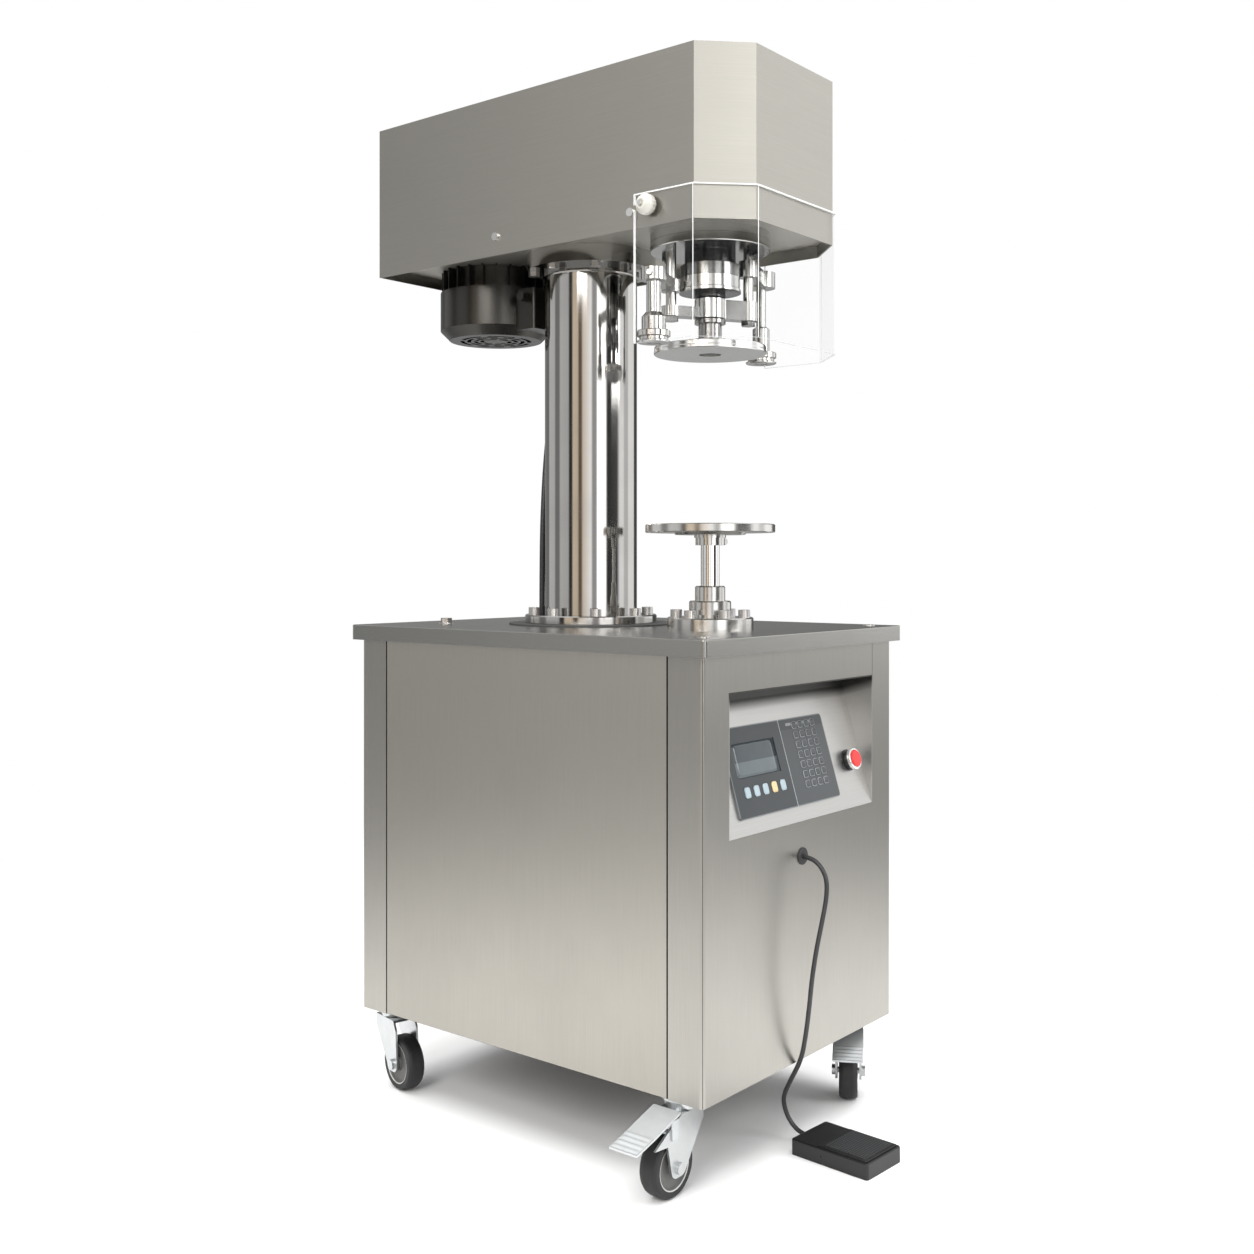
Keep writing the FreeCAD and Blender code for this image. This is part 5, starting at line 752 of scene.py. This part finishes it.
def build_controls():
    """Keypad film, display, keys and the stop button."""
    settings = bpy.context.scene.seamer
    dress("control_plate", film_material())
    dress("stop_bezel", bezel_material())
    dress("stop_button", moulded("button_red", tuple(settings.button_colour), 0.24, 900.0, 0.08))
    dress("cord_grommet", moulded("grommet_rubber", (0.015, 0.015, 0.016), 0.55, 900.0, 0.3))
    pane = (KEYPAD_X + PANE_PLACE[0], KEYPAD_UP + PANE_PLACE[1], *PANE_SIZE)
    key_caps("display_pane", [pane], *PANE_FORM, display_material(), power=PANE_POWER)
    soft = [(KEYPAD_X + SOFT_PLACE[0] + SOFT_STEP * n, KEYPAD_UP + SOFT_PLACE[1], *SOFT_SIZE)
            for n in range(SOFT_KEYS)]
    pale = moulded("key_pale", (0.34, 0.42, 0.46), 0.35, 900.0, 0.1)
    cream = moulded("key_cream", (0.66, 0.50, 0.27), 0.35, 900.0, 0.1)
    warm = soft.pop(WARM_KEY)
    key_caps("soft_keys", soft, *SOFT_FORM, pale)
    key_caps("warm_key", [warm], *SOFT_FORM, cream)
    first_x, first_up = KEYPAD_X + PAD_PLACE[0], KEYPAD_UP + PAD_PLACE[1]
    places = [(first_x + PAD_STEP[0] * column, first_up + PAD_STEP[1] * row)
              for column in range(PAD_COLUMNS) for row in range(settings.key_rows)]
    rim = moulded("key_rim", (0.26, 0.28, 0.29), 0.4, 900.0, 0.1)
    face = moulded("key_face", (0.045, 0.050, 0.054), 0.36, 900.0, 0.12)
    key_caps("pad_key_rims", [(*place, *PAD_RIM) for place in places], *PAD_RIM_FORM, rim)
    key_caps("pad_key_faces", [(*place, *PAD_FACE) for place in places], *PAD_FACE_FORM, face)


def build_column():
    """Chromed column, its gasket, flanges and screws, and the cable behind it."""
    chrome = turned("column_chrome", (0.465, 0.455, 0.44), 0.06, COLUMN_AXIS, 0.0015, 0.03)
    dress(["column", "column_cap"], chrome)
    dress("column_gasket", moulded("gasket_rubber", (0.05, 0.05, 0.05), 0.7, 700.0, 0.3))
    dress("column_cable", moulded("cable_jacket", (0.02, 0.02, 0.022), 0.4, 1500.0, 0.15))
    dress("deck_screws", turned("screw_steel", (0.60, 0.59, 0.58), 0.25, COLUMN_AXIS, 0.0008, 0.1))


def build_lift():
    """Turned steel of the lift and the can plate."""
    dress(["lift_housing", "clamp_collar", "can_plate"],
          turned("lift_steel", (0.62, 0.61, 0.59), 0.16, HEAD_AXIS, 0.0011, 0.2))
    dress("lift_shaft", turned("shaft_chrome", (0.80, 0.80, 0.79), 0.08, HEAD_AXIS, 0.002, 0.04))
    paint = moulded("inside_paint", (0.45, 0.46, 0.47), 0.45, 600.0, 0.2)
    dress(["lift_cylinder", "control_box"], paint)


def build_head():
    """Brushed cover of the head, its screws, base plate, guard and thumb knobs."""
    cover = tuple(bpy.context.scene.seamer.cover_colour)
    dress("head_cover", brushed("cover_steel", cover, 0.30, (10.0, 10.0, 900.0)))
    dress("head_base_plate", brushed("plate_steel", (0.50, 0.485, 0.44), 0.45, (10.0, 900.0, 900.0)))
    dress("head_screws", turned("stud_steel", (0.78, 0.77, 0.76), 0.14, HEAD_AXIS, 0.0008, 0.1))
    dress("head_guard", clear_sheet("guard_sheet"))
    nylon = moulded("knob_nylon", (0.62, 0.61, 0.56), 0.42, 800.0, 0.15)
    for side, sign in (("left", -1.0), ("right", 1.0)):
        build_knob(side, sign, nylon)


def build_knob(side, sign, material):
    """Thumb knob: a turned outline whose radius carries a cosine wave of flutes.

    The wave's depth fades from the knob's wide rim toward its nose.
    """
    angle = np.linspace(0.0, 2.0 * np.pi, KNOB_AROUND, endpoint=False)[None, :]
    along, radius = KNOB_OUTLINE[:, :1], KNOB_OUTLINE[:, 1:]
    flutes = np.clip((radius - FLUTE_START) / FLUTE_RUN, 0.0, 1.0) * FLUTE_DEPTH
    wavy = radius - flutes * (0.5 + 0.5 * np.cos(bpy.context.scene.seamer.knob_flutes * angle))
    x = sign * (KNOB_FACE + along) + 0 * angle
    points = np.stack([x, wavy * np.cos(angle), sign * wavy * np.sin(angle)], axis=-1).reshape(-1, 3)
    points += KNOB_PLACE
    last = (len(KNOB_OUTLINE) - 1) * KNOB_AROUND
    faces = grid_faces(len(KNOB_OUTLINE), KNOB_AROUND, True)
    faces += [[last + i, last + (i + 1) % KNOB_AROUND, (i + 1) % KNOB_AROUND, i]
              for i in range(KNOB_AROUND)]
    item = mesh_piece("knob_%s_fluted" % side, points, faces, side + "_knob", material)
    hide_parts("guard_knob_" + side)


def build_seaming_head():
    """Ground and turned steel of the seaming head."""
    steel = turned("seaming_steel", (0.54, 0.535, 0.52), 0.16, HEAD_AXIS, 0.0010, 0.25)
    dress(["bearing_housing", "bridge_bars", "spindle_bearings"], steel)
    dress("seaming_chuck", turned("chuck_steel", (0.78, 0.775, 0.76), 0.16, HEAD_AXIS, 0.0010, 0.25))
    nose_low, nose_top = (corner[2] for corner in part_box("nose_housing"))
    flange_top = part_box("arm_flange")[1][2]
    neck_top = nose_top + NOSE_LAP
    # Bands of painted shade on the nose and the arms' flange: low and high heights and a factor of the
    # colour
    painted_shade_bands = [(nose_low - 1.0, nose_low + NOSE_FOOT, 0.22), (nose_top - NOSE_NECK, neck_top, 0.42),
                 (neck_top, flange_top - FLANGE_RIM, 0.08)]
    nose = turned("nose_steel", (0.54, 0.535, 0.52), 0.14, HEAD_AXIS, 0.0010, 0.25, painted_shade_bands)
    dress(["nose_housing", "arm_flange"], nose)
    # The spindle's steel is darker than the rest: painted shade where it sits between the bridge bars
    dress("spindle_shaft", turned("spindle_steel", (0.30, 0.295, 0.285), 0.16, HEAD_AXIS, 0.0010, 0.25))
    for side, x in ROLLER_LINES:
        line = (x, HEAD_AXIS[1])
        arm = turned(side + "_arm_steel", (0.52, 0.515, 0.50), 0.17, line, 0.0012, 0.2)
        dress([side + "_arm", side + "_pivot_rod"], arm)
        roller = turned(side + "_roller_steel", (0.56, 0.55, 0.53), 0.14, line, 0.0009, 0.2)
        dress(side + "_roller", roller)


def build_motor():
    """Dark painted motor and the parts of the drive."""
    paint = moulded("motor_paint", tuple(bpy.context.scene.seamer.motor_colour), 0.24, 500.0, 0.2, 0.85)
    dress(["motor_body", "fan_cover", "terminal_box"], paint)
    dress("motor_rotor", turned("rotor_steel", (0.55, 0.55, 0.54), 0.3, MOTOR_AXIS))
    dress("motor_pulley", turned("motor_pulley_metal", (0.68, 0.68, 0.68), 0.3, MOTOR_AXIS))
    dress("spindle_pulley", turned("spindle_pulley_metal", (0.68, 0.68, 0.68), 0.3, HEAD_AXIS))
    dress("drive_belt", moulded("belt_rubber", (0.02, 0.02, 0.02), 0.6, 800.0, 0.3))


def build_castors():
    """Zinc forks, pedals and swivel heads, and the zoned wheels."""
    zinc = brushed("zinc_plate", (0.56, 0.575, 0.58), 0.3, (60.0, 60.0, 60.0), 0.15)
    forks = [name for name in frame["nodes"] if name.endswith("_fork")]
    dress(forks + ["castor_stems"], zinc)
    # A less metallic copy of the zinc, so that the pedals look paler: painted light on pedals that sit
    # in shade under the cabinet
    pedal_zinc_painted_light = brushed("pedal_zinc", (0.54, 0.56, 0.57), 0.35, (60.0, 60.0, 60.0), 0.15, 0.4)
    for side, corner, heading in PEDALS:
        dress("front_%s_brake" % side, pedal_zinc_painted_light)
        build_pedal_ribs(side, corner, heading, pedal_zinc_painted_light)
    for joint in frame["joints"]:
        if joint["name"].endswith("_wheel_spin"):
            name = joint["name"].replace("_spin", "")
            dress(name, wheel_material(name + "_rubber", joint["pos_m"], joint["axis"]))


def build_pedal_ribs(side, corner, heading, material):
    """Ribs pressed across a brake pedal's tip: cosine ridges over a straight sloping sheet.

    The sheet hangs RIB_GAP above the pedal's face and doesn't touch it.
    They fade toward the sides by one less the eighth power of the way across, and toward both ends
    by a sine to the power 0.3.
    """
    rows, columns = PEDAL_GRID
    along, across = np.linspace(0.0, 1.0, rows), np.linspace(-1.0, 1.0, columns)
    along, across = np.meshgrid(along, across, indexing="ij")
    reach = PEDAL_ROOT + along * (PEDAL_TIP - PEDAL_ROOT)
    (near, high), (far, low) = PEDAL_FACE
    sheet = low + (far - reach) * ((high - low) / (far - near))
    fade = (1.0 - across ** 8) * np.sin(np.pi * along) ** 0.3
    ridge = RIB_GAP + RIB_HEIGHT * fade * (0.5 - 0.5 * np.cos(2.0 * np.pi * RIB_COUNT * along))
    local = np.stack([reach, across * PEDAL_HALF, sheet + ridge], axis=-1).reshape(-1, 3)
    turn = math.radians(heading)
    ahead = np.array([math.cos(turn), math.sin(turn), 0.0])
    aside = np.array([-math.sin(turn), math.cos(turn), 0.0])
    points = carry(local, np.array(corner), ahead, aside, UPRIGHT)
    mesh_piece("pedal_ribs_" + side, points, grid_faces(rows, columns, False), "front_%s_pedal" % side,
               material)


def build_foot_switch():
    """Foot switch case, and its tread: a field of small domes, the product of two squared cosines."""
    black = moulded("switch_black", (0.006, 0.006, 0.007), 0.38, 700.0, 0.3)
    dress(["foot_switch_base", "foot_treadle"], black)
    step = bpy.context.scene.seamer.tread_step
    columns, rows = int(TREAD_WIDTH / step), int(TREAD_LENGTH / step)
    x = np.linspace(-0.5, 0.5, columns * TREAD_SAMPLES + 1)
    y = np.linspace(-0.5, 0.5, rows * TREAD_SAMPLES + 1)
    x, y = np.meshgrid(x, y, indexing="ij")
    domes = np.cos(np.pi * columns * x) ** 2 * np.cos(np.pi * rows * y) ** 2
    inside = (np.maximum(np.abs(x), np.abs(y)) < TREAD_REACH).astype(float)
    z = TREAD_TOP - TREAD_SINK + inside * (TREAD_RISE + TREAD_DOME * domes)
    local = np.stack([x * TREAD_WIDTH, y * TREAD_LENGTH + TREAD_MIDDLE, z], axis=-1).reshape(-1, 3)
    turn_x = np.array([math.cos(TREADLE_TURN), math.sin(TREADLE_TURN), 0.0])
    turn_y = np.array([-math.sin(TREADLE_TURN), math.cos(TREADLE_TURN), 0.0])
    points = carry(local, TREADLE_CENTRE, turn_x, turn_y, UPRIGHT)
    # Painted highlight: the domes' tips above this height take five times the rubber's colour
    tip_highlight = [(TREAD_TOP + TREAD_HIGHLIGHT, 1.0, 5.0)]
    pad = moulded("tread_rubber", (0.012, 0.013, 0.014), 0.34, 1400.0, 0.15, zones=tip_highlight)
    mesh_piece("treadle_pad", points, grid_faces(*x.shape, False), "treadle", pad)


# The add-on

class SeamerSettings(bpy.types.PropertyGroup):
    """Sizes and colours that a user would change."""

    key_rows: bpy.props.IntProperty(
        name="Rows of small keys", description="Rows of keys beside the display",
        default=7, min=1, max=7)
    knob_flutes: bpy.props.IntProperty(
        name="Flutes of a thumb knob", description="Grooves round each of the guard's knobs",
        default=18, min=6, max=36)
    tread_step: bpy.props.FloatProperty(
        name="Pitch of the tread", description="Distance between the domes of the foot switch's tread",
        default=0.0036, min=0.002, max=0.01, unit="LENGTH")
    panel_colour: bpy.props.FloatVectorProperty(
        name="Side panels", description="Colour of the cabinet's brushed side panels",
        default=(0.475, 0.455, 0.41), min=0.0, max=1.0, subtype="COLOR")
    cover_colour: bpy.props.FloatVectorProperty(
        name="Head cover", description="Colour of the head's brushed cover",
        default=(0.425, 0.41, 0.372), min=0.0, max=1.0, subtype="COLOR")
    motor_colour: bpy.props.FloatVectorProperty(
        name="Motor", description="Colour of the motor's paint",
        default=(0.050, 0.048, 0.044), min=0.0, max=1.0, subtype="COLOR")
    button_colour: bpy.props.FloatVectorProperty(
        name="Stop button", description="Colour of the stop button's cap",
        default=(0.66, 0.016, 0.014), min=0.0, max=1.0, subtype="COLOR")


class StepOperator:
    """Shared running of a step, which passes on any failure."""

    build = None

    def execute(self, context):
        type(self).build()
        return {"FINISHED"}


class SEAMER_OT_camera(StepOperator, bpy.types.Operator):
    """Place the camera where the photograph was taken from"""

    bl_idname = "seamer.camera"
    bl_label = "Camera"
    build = staticmethod(build_camera)


class SEAMER_OT_cord(StepOperator, bpy.types.Operator):
    """Lay the foot switch's cord"""

    bl_idname = "seamer.cord"
    bl_label = "Foot switch cord"
    build = staticmethod(build_cord)


class SEAMER_OT_stage(StepOperator, bpy.types.Operator):
    """Set up the floor, lamps and studio"""

    bl_idname = "seamer.stage"
    bl_label = "Floor and light"
    build = staticmethod(build_stage)


class SEAMER_OT_cabinet(StepOperator, bpy.types.Operator):
    """Finish the cabinet's sheet steel"""

    bl_idname = "seamer.cabinet"
    bl_label = "Cabinet"
    build = staticmethod(build_cabinet)


class SEAMER_OT_controls(StepOperator, bpy.types.Operator):
    """Finish the keypad and the stop button, and add their keys"""

    bl_idname = "seamer.controls"
    bl_label = "Controls"
    build = staticmethod(build_controls)


class SEAMER_OT_column(StepOperator, bpy.types.Operator):
    """Finish the column"""

    bl_idname = "seamer.column"
    bl_label = "Column"
    build = staticmethod(build_column)


class SEAMER_OT_lift(StepOperator, bpy.types.Operator):
    """Finish the lift and the can plate"""

    bl_idname = "seamer.lift"
    bl_label = "Lift"
    build = staticmethod(build_lift)


class SEAMER_OT_head(StepOperator, bpy.types.Operator):
    """Finish the head and the guard, and turn its knobs"""

    bl_idname = "seamer.head"
    bl_label = "Head and guard"
    build = staticmethod(build_head)


class SEAMER_OT_seaming(StepOperator, bpy.types.Operator):
    """Finish the chuck, arms and rollers"""

    bl_idname = "seamer.seaming"
    bl_label = "Seaming head"
    build = staticmethod(build_seaming_head)


class SEAMER_OT_motor(StepOperator, bpy.types.Operator):
    """Finish the motor and the belt drive"""

    bl_idname = "seamer.motor"
    bl_label = "Motor and drive"
    build = staticmethod(build_motor)


class SEAMER_OT_castors(StepOperator, bpy.types.Operator):
    """Finish the castors and press the ribs of their pedals"""

    bl_idname = "seamer.castors"
    bl_label = "Castors"
    build = staticmethod(build_castors)


class SEAMER_OT_foot_switch(StepOperator, bpy.types.Operator):
    """Finish the foot switch and mould its tread"""

    bl_idname = "seamer.foot_switch"
    bl_label = "Foot switch"
    build = staticmethod(build_foot_switch)


OPERATORS = (
    SEAMER_OT_camera,
    SEAMER_OT_cord,
    SEAMER_OT_stage,
    SEAMER_OT_cabinet,
    SEAMER_OT_controls,
    SEAMER_OT_column,
    SEAMER_OT_lift,
    SEAMER_OT_head,
    SEAMER_OT_seaming,
    SEAMER_OT_motor,
    SEAMER_OT_castors,
    SEAMER_OT_foot_switch,
)


class SEAMER_PT_panel(bpy.types.Panel):
    """Sidebar panel with the settings and a button for each step."""

    bl_idname = "SEAMER_PT_panel"
    bl_label = "Can seamer"
    bl_space_type = "VIEW_3D"
    bl_region_type = "UI"
    bl_category = "Can seamer"

    def draw(self, context):
        for name in SeamerSettings.__annotations__:
            self.layout.prop(context.scene.seamer, name)
        for operator in OPERATORS:
            self.layout.operator(operator.bl_idname)


CLASSES = (SeamerSettings, *OPERATORS, SEAMER_PT_panel)


def register():
    """Register the classes, and give the scene its settings."""
    for item in CLASSES:
        bpy.utils.register_class(item)
    bpy.types.Scene.seamer = bpy.props.PointerProperty(type=SeamerSettings)


def unregister():
    """Undo what register does."""
    del bpy.types.Scene.seamer
    for item in reversed(CLASSES):
        bpy.utils.unregister_class(item)


def main():
    register()
    make_grain_group()
    make_lathe_group()
    make_pebble_group()
    for operator in OPERATORS:
        step = operator.bl_idname.split(".")[1]
        if getattr(bpy.ops.seamer, step)() != {"FINISHED"}:
            raise RuntimeError("not finished: " + operator.bl_label)


if __name__ == "__main__":
    main()
